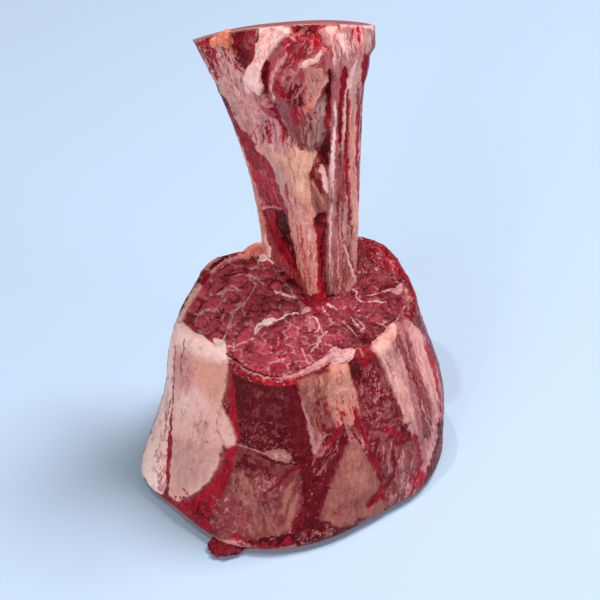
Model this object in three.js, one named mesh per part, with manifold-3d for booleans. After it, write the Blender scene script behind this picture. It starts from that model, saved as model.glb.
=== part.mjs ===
// A raw beef shank, sawn short and stood on its broad end, with the long bone
// scraped clean and left standing out of the narrow end.
//
// Millimetres, +Z up, and the photographed side faces -Y. The origin is the
// middle of the footprint, on the surface that the meat rests on.
// Two solids: the meat, with its muscle ends, fat and silverskin as relief, and
// the shin bone, which runs down through the meat to the sawn underside.

import * as THREE from "three";
import { mergeVertices } from "three/addons/utils/BufferGeometryUtils.js";
import Module from "manifold-3d";

const wasm = await Module();
wasm.setup();

// ---- Driving sizes ----

const MEAT_HEIGHT = 110; // underside to the rim of the upper cut
const FOOT = { halfWidth: 93, halfDepth: 88 }; // the meat where it rests
const RIM = { halfWidth: 63, halfDepth: 63, x: 2, y: 3 }; // the upper cut, and its middle
const SOLE_ROUNDING = 8; // radius of the edge round the underside
const RIM_ROUNDING = 5; // radius of the edge round the upper cut
const CUT_TILT = 0.08; // the upper cut climbs this much for each mm towards the back
const SEAM_DEPTH = 2; // the furrow between two muscles on the upper cut
const SEAM_WIDTH = 6.5;
const BONE_GAP = 0.3; // all round the bone, between it and the meat
const BONE_HEIGHT = 269; // underside to the sawn top, measured on SAW_PIVOT
const SAW_PIVOT = { x: 0, y: 25 };
const SAW_SLOPE = { x: 0.09, y: -0.41 }; // rise of the sawn top for each mm of x and y
const CROWN = { x: -6, halfWidth: 52, rise: 6 }; // the top stands this much higher midway

const COLOURS = { meat: 0x8f2230, bone: 0xd9a595 };

// Fineness of the two lofts.
const MEAT_COLUMNS = 80;
const SIDE_RINGS = 13;
const CUT_RINGS = 8;
const BONE_COLUMNS = 56;
const BONE_RINGS = 16; // above the meat

// ---- Small helpers ----

const { degToRad, lerp, clamp, smoothstep } = THREE.MathUtils;

/** Signed gap from one direction to another, in degrees, from -180 to 180. */
function turnBetween(from, to) {
  return ((((to - from) % 360) + 540) % 360) - 180;
}

/** A soft hump: 1 at the middle, falling away within about two reaches. */
function hump(distance, reach) {
  return Math.exp(-((distance / reach) ** 2));
}

/** How far a point lies from a line of straight stretches. */
function distanceToLine(x, y, line) {
  let nearest = Infinity;
  for (let i = 1; i < line.length; i++) {
    const [ax, ay] = line[i - 1];
    const [bx, by] = line[i];
    const along = ((x - ax) * (bx - ax) + (y - ay) * (by - ay)) / ((bx - ax) ** 2 + (by - ay) ** 2);
    const t = clamp(along, 0, 1);
    nearest = Math.min(nearest, Math.hypot(x - lerp(ax, bx, t), y - lerp(ay, by, t)));
  }
  return nearest;
}

/** One closed surface through a stack of rings that start and end in a single point. */
function skin(bottomPoint, rings, topPoint) {
  const columns = rings[0].length;
  const vertices = [bottomPoint, ...rings.flat(), topPoint];
  const faces = [];
  const at = (ring, column) => 1 + ring * columns + (column % columns);
  for (let c = 0; c < columns; c++) {
    faces.push([0, at(0, c + 1), at(0, c)]);
    for (let r = 1; r < rings.length; r++) {
      faces.push([at(r - 1, c), at(r - 1, c + 1), at(r, c + 1)]);
      faces.push([at(r - 1, c), at(r, c + 1), at(r, c)]);
    }
    faces.push([vertices.length - 1, at(rings.length - 1, c), at(rings.length - 1, c + 1)]);
  }
  const geometry = new THREE.BufferGeometry();
  geometry.setAttribute("position", new THREE.Float32BufferAttribute(vertices.flat(), 3));
  geometry.setIndex(faces.flat());
  return geometry;
}

/** A closed geometry as a solid that can be joined and cut. */
function solidOf(geometry) {
  const bare = geometry.clone();
  bare.deleteAttribute("normal");
  bare.deleteAttribute("uv");
  const merged = mergeVertices(bare, 1e-4);
  return new wasm.Manifold(
    new wasm.Mesh({
      numProp: 3,
      vertProperties: new Float32Array(merged.attributes.position.array),
      triVerts: new Uint32Array(merged.index.array),
    }),
  );
}

/** A solid as a three.js geometry again. */
function geometryOf(solid) {
  const { vertProperties, triVerts } = solid.getMesh();
  const geometry = new THREE.BufferGeometry();
  geometry.setAttribute("position", new THREE.BufferAttribute(vertProperties, 3));
  geometry.setIndex(new THREE.BufferAttribute(triVerts, 1));
  geometry.computeVertexNormals();
  return geometry;
}

/** A ball stretched to three half sizes, turned, and put in its place. */
function lump({ at, half, turn = [0, 0, 0], fineness = 8 }) {
  const geometry = new THREE.SphereGeometry(1, fineness * 2, fineness);
  geometry.rotateX(Math.PI / 2);
  const place = new THREE.Matrix4().compose(
    new THREE.Vector3(...at),
    new THREE.Quaternion().setFromEuler(new THREE.Euler(...turn.map(degToRad))),
    new THREE.Vector3(...half),
  );
  return geometry.applyMatrix4(place);
}

// ---- The meat ----

// Where the side swells or draws in. Angles are degrees anticlockwise from +X, seen
// from above; out is how far the flesh stands off the plain tapered shape.
const BELLIES = [
  { name: "left heel", angle: 201, spread: 15, height: 2, reach: 30, out: 11 },
  { name: "front left heel", angle: 240, spread: 24, height: 0, reach: 58, out: 9 },
  { name: "front heel", angle: 264, spread: 20, height: 4, reach: 30, out: 5 },
  { name: "front right tuck", angle: 308, spread: 17, height: 0, reach: 30, out: -6 },
  { name: "right belly", angle: 352, spread: 34, height: 60, reach: 42, out: 12 },
  { name: "left shoulder", angle: 192, spread: 20, height: 92, reach: 34, out: 8 },
  { name: "front left flat", angle: 224, spread: 14, height: 108, reach: 40, out: -6 },
  { name: "front shoulder", angle: 262, spread: 22, height: 108, reach: 44, out: 3 },
  { name: "front right flat", angle: 306, spread: 20, height: 112, reach: 40, out: -7 },
  { name: "right shoulder", angle: 14, spread: 20, height: 110, reach: 30, out: 4 },
  { name: "back right shoulder", angle: 50, spread: 22, height: 108, reach: 50, out: 14 },
  { name: "back left flat", angle: 112, spread: 18, height: 112, reach: 36, out: -7 },
  { name: "back left shoulder", angle: 142, spread: 16, height: 110, reach: 40, out: 4 },
  { name: "back belly", angle: 95, spread: 36, height: 36, reach: 40, out: 4 },
];

// Furrows that run down the side, where one muscle's sheath meets the next.
const FURROWS = [
  { name: "left panel edge", angle: 198, from: 12, to: 104, depth: 1.6 },
  { name: "front window left", angle: 238.5, from: 12, to: 104, depth: 2.2 },
  { name: "front window right", angle: 283.5, from: 12, to: 104, depth: 2.2 },
  { name: "front right tendon", angle: 306, from: 12, to: 104, depth: 1.8 },
  { name: "right sheath", angle: 333, from: 16, to: 104, depth: 2 },
  { name: "right back sheath", angle: 9, from: 16, to: 104, depth: 1.8 },
  { name: "back right", angle: 54, from: 12, to: 104, depth: 2.4 },
  { name: "back", angle: 94.5, from: 12, to: 104, depth: 2.4 },
  { name: "back left", angle: 139.5, from: 12, to: 104, depth: 2.2 },
  { name: "left back", angle: 171, from: 12, to: 104, depth: 1.8 },
];
const FURROW_SPREAD = 5; // degrees
const FURROW_FADE = 10; // mm in which a furrow runs out at its ends

// Seams between the cut muscles on the upper face, as points [x, y] on it.
const FACE_SEAMS = [
  { name: "front", line: [[-48, -34], [-26, -34], [-14, -18], [6, -8]] },
  { name: "outer left", line: [[-58, 4], [-42, 14], [-30, 28], [-18, 34]] },
  { name: "inner left", line: [[-36, -32], [-34, -8], [-30, 28]] },
  { name: "front right", line: [[6, -8], [18, -30], [32, -46]] },
  { name: "right", line: [[34, -2], [48, 4], [62, 8]] },
  { name: "back right", line: [[44, 34], [56, 34], [68, 42]] },
];

/** The sideways swell of the flesh at an angle and a height. */
function sideRelief(angle, height) {
  let out = 0;
  for (const belly of BELLIES) {
    const around = hump(turnBetween(belly.angle, angle), belly.spread);
    out += belly.out * around * hump(height - belly.height, belly.reach);
  }
  for (const furrow of FURROWS) {
    const above = smoothstep(height, furrow.from, furrow.from + FURROW_FADE);
    const below = 1 - smoothstep(height, furrow.to - FURROW_FADE, furrow.to);
    const around = hump(turnBetween(furrow.angle, angle), FURROW_SPREAD);
    out -= furrow.depth * around * above * below;
  }
  return out;
}

/** Height of the upper cut: tilted, domed over each muscle, furrowed along the seams. */
function cutHeight(x, y) {
  const nearest = Math.min(...FACE_SEAMS.map((seam) => distanceToLine(x, y, seam.line)));
  return MEAT_HEIGHT + CUT_TILT * y - SEAM_DEPTH * hump(nearest, SEAM_WIDTH);
}

/** A point on the meat's side. rise goes from 0 at the sole to 1 at the rim. */
function sidePoint(angle, rise, inset) {
  const a = degToRad(angle);
  const halfWidth = lerp(FOOT.halfWidth, RIM.halfWidth, rise);
  const halfDepth = lerp(FOOT.halfDepth, RIM.halfDepth, rise);
  const oval = 1 / Math.hypot(Math.cos(a) / halfWidth, Math.sin(a) / halfDepth);
  const radius = oval + sideRelief(angle, rise * MEAT_HEIGHT) - inset;
  const x = RIM.x * rise + radius * Math.cos(a);
  const y = RIM.y * rise + radius * Math.sin(a);
  return [x, y, rise * (MEAT_HEIGHT + CUT_TILT * y)];
}

/** One ring of the meat: the side's outline at a rise, drawn in by an inset. */
function meatRing(rise, inset = 0) {
  return Array.from({ length: MEAT_COLUMNS }, (_, c) =>
    sidePoint((c * 360) / MEAT_COLUMNS, rise, inset),
  );
}

/** One ring of the underside, at a share of the way from its middle to its edge. */
function soleRing(share) {
  return meatRing(0, SOLE_ROUNDING).map(([x, y]) => [x * share, y * share, 0]);
}

/** One ring of the upper cut, at a share of the way from its middle to the rim. */
function cutRing(share) {
  return meatRing(1, RIM_ROUNDING).map(([x, y]) => {
    const px = lerp(RIM.x, x, share);
    const py = lerp(RIM.y, y, share);
    return [px, py, cutHeight(px, py)];
  });
}

function meatBody() {
  const rings = [0.4, 0.7, 1].map(soleRing);
  for (const turn of [30, 60]) {
    const a = degToRad(turn);
    const rise = (SOLE_ROUNDING * (1 - Math.cos(a))) / MEAT_HEIGHT;
    rings.push(meatRing(rise, SOLE_ROUNDING * (1 - Math.sin(a))));
  }
  const lowest = SOLE_ROUNDING / MEAT_HEIGHT;
  const highest = 1 - RIM_ROUNDING / MEAT_HEIGHT;
  for (let i = 0; i <= SIDE_RINGS; i++) {
    rings.push(meatRing(lerp(lowest, highest, i / SIDE_RINGS)));
  }
  for (const turn of [30, 60]) {
    const a = degToRad(turn);
    const rise = highest + (RIM_ROUNDING * Math.sin(a)) / MEAT_HEIGHT;
    rings.push(meatRing(rise, RIM_ROUNDING * (1 - Math.cos(a))));
  }
  for (let i = 0; i < CUT_RINGS; i++) {
    rings.push(cutRing(1 - (0.8 * i) / CUT_RINGS));
  }
  return skin([0, 0, 0], rings, [RIM.x, RIM.y, cutHeight(RIM.x, RIM.y)]);
}

// Scraps that hang from the meat or stand on its rim.
const SCRAPS = [
  { name: "flap under the front", at: [-38, -88, 3.4], half: [12, 10, 3.2], turn: [6, 0, 14] },
  { name: "fat wedge on the rim", at: [28, -44, 106.5], half: [9, 6, 4.5], turn: [0, -8, 32] },
  { name: "sinew behind the bone", at: [-27, 49, 113], half: [10, 6, 6], turn: [0, -14, -20] },
];

// ---- The bone ----

// Lines that run up the bone, in order round its section. Each has its place [x, y]
// where the bone leaves the meat and where the saw cut it off. late is above 1 for a
// line that keeps to the shaft and flares near the top, below 1 for one that leans early.
const RIBS = [
  { name: "crest", foot: [17, 3], top: [-4, 2], late: 0.7 },
  { name: "groove", foot: [20, 12], top: [14, 6], late: 1 },
  { name: "tendon", foot: [27, 10], top: [26, 3], late: 1 },
  { name: "right front", foot: [34, 17], top: [38, 12], late: 6 },
  { name: "right edge", foot: [37, 30], top: [42, 32], late: 8 },
  { name: "right heel", foot: [33, 48], top: [38, 54], late: 5 },
  { name: "back right", foot: [18, 56], top: [20, 64], late: 2 },
  { name: "back notch", foot: [6, 56], top: [-4, 56], late: 2 },
  { name: "back left", foot: [-6, 58], top: [-32, 65], late: 1.8 },
  { name: "wing edge", foot: [-20, 51], top: [-57, 52], late: 1.75 },
  { name: "wing face", foot: [-15, 42], top: [-46, 39], late: 1.75 },
  { name: "hollow", foot: [-1, 26], top: [-27, 27], late: 1.2 },
];
const LEAVING = MEAT_HEIGHT / BONE_HEIGHT; // share of the height where it leaves the meat
const SHIN_AXIS = { x: 10, y: 33 }; // middle of the shaft inside the meat
const HEAD_AXIS = { x: -4, y: 36 }; // middle of the sawn top
const SAW_ALLOWANCE = 30; // what the saw takes off above BONE_HEIGHT
const SHIN_TAPER = 0.9; // size of the sawn lower end, against the shaft at the upper cut

/** Height of the sawn top over a point: a slope, crowned from side to side. */
function sawHeight(x, y) {
  const slope = SAW_SLOPE.x * (x - SAW_PIVOT.x) + SAW_SLOPE.y * (y - SAW_PIVOT.y);
  return BONE_HEIGHT + slope + CROWN.rise * (1 - ((x - CROWN.x) / CROWN.halfWidth) ** 2);
}

/** The bone's outline at a height from 0 to 1, drawn out by a gap. */
function boneRing(rise, gap) {
  const climb = Math.max(0, (rise - LEAVING) / (1 - LEAVING));
  const shrink = lerp(SHIN_TAPER, 1, Math.min(1, rise / LEAVING));
  const corners = RIBS.map(({ foot, top, late }) => {
    const x = lerp(SHIN_AXIS.x, foot[0], shrink);
    const y = lerp(SHIN_AXIS.y, foot[1], shrink);
    const flare = climb ** late;
    return new THREE.Vector3(lerp(x, top[0], flare), lerp(y, top[1], flare), 0);
  });
  const outline = new THREE.CatmullRomCurve3(corners, true, "centripetal");
  return Array.from({ length: BONE_COLUMNS }, (_, c) => {
    const share = c / BONE_COLUMNS;
    const point = outline.getPoint(share);
    const heading = outline.getTangent(share);
    const x = point.x + heading.y * gap;
    const y = point.y - heading.x * gap;
    return [x, y, rise * sawHeight(x, y)];
  });
}

/** The shaft and its flared head, from the underside to a little above the saw cut. */
function shaft(gap, reachBelow) {
  const rings = [boneRing(0, gap).map(([x, y]) => [x, y, -reachBelow])];
  for (let i = 0; i <= BONE_RINGS; i++) {
    rings.push(boneRing(lerp(LEAVING, 1, i / BONE_RINGS), gap));
  }
  const top = BONE_HEIGHT + SAW_ALLOWANCE;
  rings.push(rings.at(-1).map(([x, y]) => [x, y, top]));
  return skin([SHIN_AXIS.x, SHIN_AXIS.y, -reachBelow], rings, [HEAD_AXIS.x, HEAD_AXIS.y, top]);
}

// What the knife left on the bone's head: the knob that the kneecap's tendon held,
// ends of tendon, a cap of gristle and beads of fat.
const HEAD_LUMPS = [
  { name: "knob", at: [-3, 5, 256], half: [19, 13, 19], turn: [-8, 8, 0], fineness: 12 },
  { name: "knob's shoulder", at: [6, 5, 270], half: [24, 11, 16], turn: [-10, 0, 0] },
  { name: "torn tendon left", at: [-18, 5, 262], half: [6.5, 8, 19], turn: [0, 12, 0] },
  { name: "torn tendon flap", at: [9, 0, 252], half: [7, 5, 14], turn: [0, 12, 0] },
  { name: "tendon head", at: [29, 10, 264], half: [11, 9, 24], turn: [-6, 0, 0] },
  { name: "gristle cap", at: [39, 24, 268], half: [4, 6, 8], turn: [-20, 0, 0] },
  { name: "torn gristle right", at: [41, 32, 260], half: [3, 6, 6] },
];
const FAT_BEADS = [
  { name: "large bead", at: [-36, 33, 262], half: [5, 4.5, 5] },
  { name: "small bead", at: [-42, 35, 259], half: [3.4, 3.2, 3] },
];

/** Everything above the saw cut, to be taken off what stands proud of it. */
function aboveTheSaw() {
  const columns = 32;
  const ring = (radius, height) =>
    Array.from({ length: columns }, (_, c) => {
      const a = (c * 2 * Math.PI) / columns;
      const x = HEAD_AXIS.x + radius * Math.cos(a);
      const y = HEAD_AXIS.y + radius * Math.sin(a);
      return [x, y, height ?? sawHeight(x, y)];
    });
  const top = BONE_HEIGHT + 2 * SAW_ALLOWANCE;
  const rings = [18, 36, 54, 72].map((radius) => ring(radius));
  rings.push(ring(72, top));
  const middle = [HEAD_AXIS.x, HEAD_AXIS.y, sawHeight(HEAD_AXIS.x, HEAD_AXIS.y)];
  return solidOf(skin(middle, rings, [HEAD_AXIS.x, HEAD_AXIS.y, top]));
}

function boneBody() {
  let bone = solidOf(shaft(0, 0));
  for (const shape of HEAD_LUMPS) bone = bone.add(solidOf(lump(shape)));
  bone = bone.subtract(aboveTheSaw());
  for (const shape of FAT_BEADS) bone = bone.add(solidOf(lump(shape)));
  return bone;
}

function meatSolid() {
  let meat = solidOf(meatBody());
  for (const shape of SCRAPS) meat = meat.add(solidOf(lump(shape)));
  return meat.subtract(solidOf(shaft(BONE_GAP, 1)));
}

// ---- The shank ----

function piece(name, solid, material) {
  const mesh = new THREE.Mesh(geometryOf(solid), new THREE.MeshStandardMaterial(material));
  mesh.name = name;
  return mesh;
}

const shank = new THREE.Group();
shank.add(
  piece("shank_meat", meatSolid(), { color: COLOURS.meat, roughness: 0.45, metalness: 0 }),
  piece("shank_bone", boneBody(), { color: COLOURS.bone, roughness: 0.5, metalness: 0 }),
);

// The middle of the footprint goes to the origin.
const box = new THREE.Box3().setFromObject(shank, true);
const middle = box.getCenter(new THREE.Vector3());
shank.position.set(-middle.x, -middle.y, -box.min.z);

export default shank;
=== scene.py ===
"""The looks of a raw beef shank: cut muscle, fat, silverskin and a scraped bone.

Lengths here are in millimetres and become metres where a mesh is made. Three kinds of
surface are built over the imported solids: walls, which follow a solid's side ring by
ring, faces, which lie across it where it was cut, and scraps. Each is then painted with
tissues, which also raise or sink it. What the photograph shows is placed by its pixels,
and what it hides by degrees and millimetres round the shank.
"""

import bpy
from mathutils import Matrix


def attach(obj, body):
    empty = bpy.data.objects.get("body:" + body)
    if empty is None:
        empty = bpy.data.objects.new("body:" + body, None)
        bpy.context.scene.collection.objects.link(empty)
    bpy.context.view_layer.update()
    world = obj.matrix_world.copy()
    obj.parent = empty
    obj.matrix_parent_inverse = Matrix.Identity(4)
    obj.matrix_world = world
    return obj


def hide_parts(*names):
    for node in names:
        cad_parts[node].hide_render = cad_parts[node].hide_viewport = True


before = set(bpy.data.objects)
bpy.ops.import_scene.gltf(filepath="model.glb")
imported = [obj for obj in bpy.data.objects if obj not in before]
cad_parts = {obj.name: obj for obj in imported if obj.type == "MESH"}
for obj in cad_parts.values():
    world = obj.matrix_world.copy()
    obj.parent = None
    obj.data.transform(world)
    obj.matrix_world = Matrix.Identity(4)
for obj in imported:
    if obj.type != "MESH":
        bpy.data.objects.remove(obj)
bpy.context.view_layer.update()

import math

import bpy
import numpy as np
from mathutils import Euler, Vector
from mathutils.bvhtree import BVHTree

MM = 0.001

# ---- The photograph's camera ----

PHOTO_PIXELS = 600
PHOTO_PITCH = math.radians(37)  # below the horizon
PHOTO_FIELD = math.radians(28)
PHOTO_DISTANCE = 740
PHOTO_TARGET = np.array([4.55, 36.6, 90.0])

photo_forward = np.array([0, math.cos(PHOTO_PITCH), -math.sin(PHOTO_PITCH)])
photo_up = np.array([0, math.sin(PHOTO_PITCH), math.cos(PHOTO_PITCH)])
photo_eye = PHOTO_TARGET - photo_forward * PHOTO_DISTANCE
photo_focal = PHOTO_PIXELS / 2 / math.tan(PHOTO_FIELD / 2)


def to_photo(points):
    """Pixels of the photograph that points (n, 3) fall on."""
    seen = points - photo_eye
    depth = seen @ photo_forward
    x = PHOTO_PIXELS / 2 + photo_focal * seen[:, 0] / depth
    y = PHOTO_PIXELS / 2 - photo_focal * (seen @ photo_up) / depth
    return np.stack([x, y], 1)


# ---- Noise ----


def smoothstep(low, high, value):
    """A smooth step from 0 at low to 1 at high, which may lie below low."""
    t = np.clip((value - low) / (high - low), 0, 1)
    return t * t * (3 - 2 * t)


def mix(a, b, share):
    """What lies a share of the way from a to b."""
    return a + (b - a) * share


NOISE_CELLS = 256  # the noise repeats after so many cells
NOISE_GAIN = 1.6  # brings the noise out to about -1 to 1
FRACTAL_GAIN = 1.5
NOISE_SPREAD = 0.42  # how widely the values of noise are spread
FRACTAL_SPREAD = 0.36


def noise(points, size, seed=0):
    """Smooth noise from about -1 to 1, with features of a size in mm."""
    rng = np.random.default_rng(seed)
    order = np.tile(rng.permutation(NOISE_CELLS), 2)
    slopes = rng.normal(size=(NOISE_CELLS, 3))
    slopes /= np.linalg.norm(slopes, axis=1)[:, None]
    p = points / size + rng.uniform(0, 99, 3)
    cell = np.floor(p).astype(int)
    inside = p - cell
    fade = inside**3 * (inside * (inside * 6 - 15) + 10)
    total = np.zeros(len(p))
    for corner in np.ndindex(2, 2, 2):
        x, y, z = ((cell + corner) & (NOISE_CELLS - 1)).T
        slope = slopes[order[order[order[x] + y] + z]]
        weight = np.prod(np.where(corner, fade, 1 - fade), axis=1)
        total += weight * np.einsum("ij,ij->i", slope, inside - corner)
    return total * NOISE_GAIN


def fractal(points, size, seed=0, octaves=4, gain=0.55):
    """Noise with finer noise on it."""
    total, weight, full = 0, 1.0, 0
    for octave in range(octaves):
        total = total + weight * noise(points, size / 2**octave, seed + octave)
        full += weight
        weight *= gain
    return total / full * FRACTAL_GAIN


CELL_TABLE = 64  # the cells repeat after so many


def cells(flat, size, seed=0, jitter=0.9):
    """Cells of about a size in mm on a plane.

    Returns each point's distance from its cell's edge and from its middle, and its cell's number."""
    rng = np.random.default_rng(seed)
    table = rng.uniform(0.5 - jitter / 2, 0.5 + jitter / 2, (CELL_TABLE, CELL_TABLE, 2))
    shade = rng.uniform(0, 1, (CELL_TABLE, CELL_TABLE))
    p = flat / size + rng.uniform(0, CELL_TABLE, 2)
    home = np.floor(p).astype(int)
    nearest, second = np.full((2, len(p)), np.inf)
    number = np.zeros(len(p))
    for step in np.ndindex(3, 3):
        cell = home + np.array(step) - 1
        x, y = (cell & (CELL_TABLE - 1)).T
        gap = np.linalg.norm(cell + table[x, y] - p, axis=1)
        closer = gap < nearest
        second = np.where(closer, nearest, np.minimum(second, gap))
        number = np.where(closer, shade[x, y], number)
        nearest = np.where(closer, gap, nearest)
    return (second - nearest) * size / 2, nearest * size, number


BELL = 1.7  # with this factor the curve below follows that of a bell curve's shares


def even(value, spread):
    """A field of a known spread, evened out so that any share of it lies above 1 less that share."""
    return 1 / (1 + np.exp(-BELL * value / spread))


def upper(field, share, soft):
    """1 where an evened-out field is in its upper share, and 0 elsewhere, with a soft edge."""
    return smoothstep(1 - share - soft, 1 - share + soft, field)


def lines(points, size, seed):
    """Fine winding lines: 1 on a line, and evened out away from it."""
    bends = np.stack([noise(points, size * 1.5, seed + k) for k in (1, 2, 3)], 1)
    bent = points + 0.5 * size * bends
    value = noise(bent, size, seed) + 0.3 * noise(bent, size / 2.5, seed + 4)
    return 1 - np.abs(2 * even(value, NOISE_SPREAD) - 1)


# How a tissue may be broken up: fields from 0 to 1 over a canvas, each evened out.
TEXTURES = {
    "streak": lambda c: even(c.streak, FRACTAL_SPREAD),
    "mottle": lambda c: even(fractal(c.points, size=5, seed=23), FRACTAL_SPREAD),
    "blot": lambda c: even(fractal(c.points, size=11, seed=27, octaves=5, gain=0.6), FRACTAL_SPREAD),
    "fleck": lambda c: even(noise(c.points, size=1.7, seed=29), NOISE_SPREAD),
    "web": lambda c: lines(c.points, size=6.5, seed=43),
    "fine web": lambda c: lines(c.points, size=3.2, seed=47),
}


# ---- Outlines and lines ----


TINY = 1e-9  # keeps a division off zero


def curve(points, closed, steps=5):
    """A smooth line through points, in so many steps between each two."""
    p = np.asarray(points, float)
    before, after, beyond = np.roll(p, 1, 0), np.roll(p, -1, 0), np.roll(p, -2, 0)
    if not closed:
        before[0], after[-1], beyond[-2:] = p[0], p[-1], p[-1]
    out = []
    for t in np.arange(steps) / steps:
        bend = (2 * before - 5 * p + 4 * after - beyond) * t**2
        twist = (3 * p - before - 3 * after + beyond) * t**3
        out.append(0.5 * (2 * p + (after - before) * t + bend + twist))
    line = np.stack(out, 1).reshape(-1, 2)
    return line if closed else np.vstack([line[: (len(p) - 1) * steps], p[-1:]])


def to_line(flat, line, closed=False):
    """Distance of points from a line, and how far along it the nearest place is, from 0 to 1."""
    starts = line if closed else line[:-1]
    ends = np.roll(line, -1, 0) if closed else line[1:]
    best = np.full(len(flat), np.inf)
    along = np.zeros(len(flat))
    for i, (a, b) in enumerate(zip(starts, ends)):
        way = b - a
        t = np.clip((flat - a) @ way / max(way @ way, TINY), 0, 1)
        gap = np.linalg.norm(flat - a - t[:, None] * way, axis=1)
        closer = gap < best
        best = np.where(closer, gap, best)
        along = np.where(closer, (i + t) / len(starts), along)
    return best, along


def within(flat, line):
    """Whether points lie inside a closed line."""
    odd = np.zeros(len(flat), bool)
    x, y = flat.T
    for (ax, ay), (bx, by) in zip(line, np.roll(line, -1, 0)):
        if ay != by:
            odd ^= ((ay > y) != (by > y)) & (x < ax + (y - ay) * (bx - ax) / (by - ay))
    return odd


def depth_in(flat, line):
    """How far inside a closed line points lie, which is below 0 outside it."""
    gap, _ = to_line(flat, line, closed=True)
    return np.where(within(flat, line), gap, -gap)


# ---- Tissues ----
# Two tones each, darker and lighter, and how rough the wet surface is.

TISSUES = {
    "muscle": ((0.10, 0.003, 0.008), (0.25, 0.014, 0.028), 0.34),
    "cut": ((0.12, 0.004, 0.012), (0.47, 0.056, 0.086), 0.3),
    "window": ((0.06, 0.002, 0.006), (0.15, 0.007, 0.014), 0.26),
    "blood": ((0.15, 0.002, 0.007), (0.42, 0.013, 0.03), 0.2),
    "maroon": ((0.035, 0.001, 0.004), (0.11, 0.004, 0.011), 0.3),
    "sheath": ((0.24, 0.03, 0.042), (0.47, 0.14, 0.14), 0.34),
    "lilac": ((0.40, 0.15, 0.16), (0.72, 0.39, 0.38), 0.34),
    "mauve": ((0.15, 0.018, 0.026), (0.31, 0.085, 0.088), 0.34),
    "fat": ((0.54, 0.27, 0.235), (0.80, 0.50, 0.43), 0.42),
    "cream": ((0.72, 0.44, 0.39), (0.93, 0.71, 0.64), 0.42),
    "beige": ((0.20, 0.045, 0.042), (0.38, 0.15, 0.12), 0.38),
    "peach": ((0.50, 0.20, 0.145), (0.75, 0.38, 0.29), 0.4),
    "orange": ((0.68, 0.15, 0.08), (0.90, 0.32, 0.20), 0.34),
    "white": ((0.74, 0.48, 0.46), (0.96, 0.78, 0.75), 0.36),
    "bone": ((0.48, 0.20, 0.20), (0.74, 0.41, 0.40), 0.4),
    "pearl": ((0.27, 0.12, 0.115), (0.52, 0.33, 0.295), 0.32),
    "tallow": ((0.50, 0.20, 0.13), (0.80, 0.50, 0.36), 0.36),
    "marrow": ((0.15, 0.008, 0.01), (0.32, 0.032, 0.034), 0.36),
}


def area(name, tissue, outline, **how):
    """A patch of tissue inside an outline. Its name only says what it stands for."""
    return dict(name=name, kind="patch", tissue=tissue, points=outline, **how)


def band(name, tissue, line, width, **how):
    """A strip of tissue along a line."""
    return dict(name=name, kind="stroke", tissue=tissue, points=line, width=width, **how)


WANDER = 2.2  # how far outlines stray from their curves, in the photograph's pixels
SEEN_FULLY = 0.15  # surfaces that face the camera by less fade out of what the photograph places
TONE_PAST = 0.15  # how far tones may go past a tissue's two
FILM_LEAST = 0.02  # less film than this is none
STREAK_BREAKS = (0.35, 0.8)  # where streaks start to break up a layer, and where they do so in full
TAPER, TIP = 0.1, 0.35  # the share of a strip in which its end narrows, and how wide its tip is left
PAINTED = ("colour", "film", "cover", "rough", "lift")  # what a canvas carries at each point


def strands_at(flat, lean, width, length):
    """Noise drawn out into fibres, which lean by so many degrees."""
    x, y = flat.T
    lean = math.radians(lean)
    across = (x * math.cos(lean) - y * math.sin(lean)) / width
    along = (x * math.sin(lean) + y * math.cos(lean)) / length
    place = np.stack([across, along, np.full(len(x), 0.5)], 1)
    return fractal(place, size=1, seed=int(width * 7), octaves=3)


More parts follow.
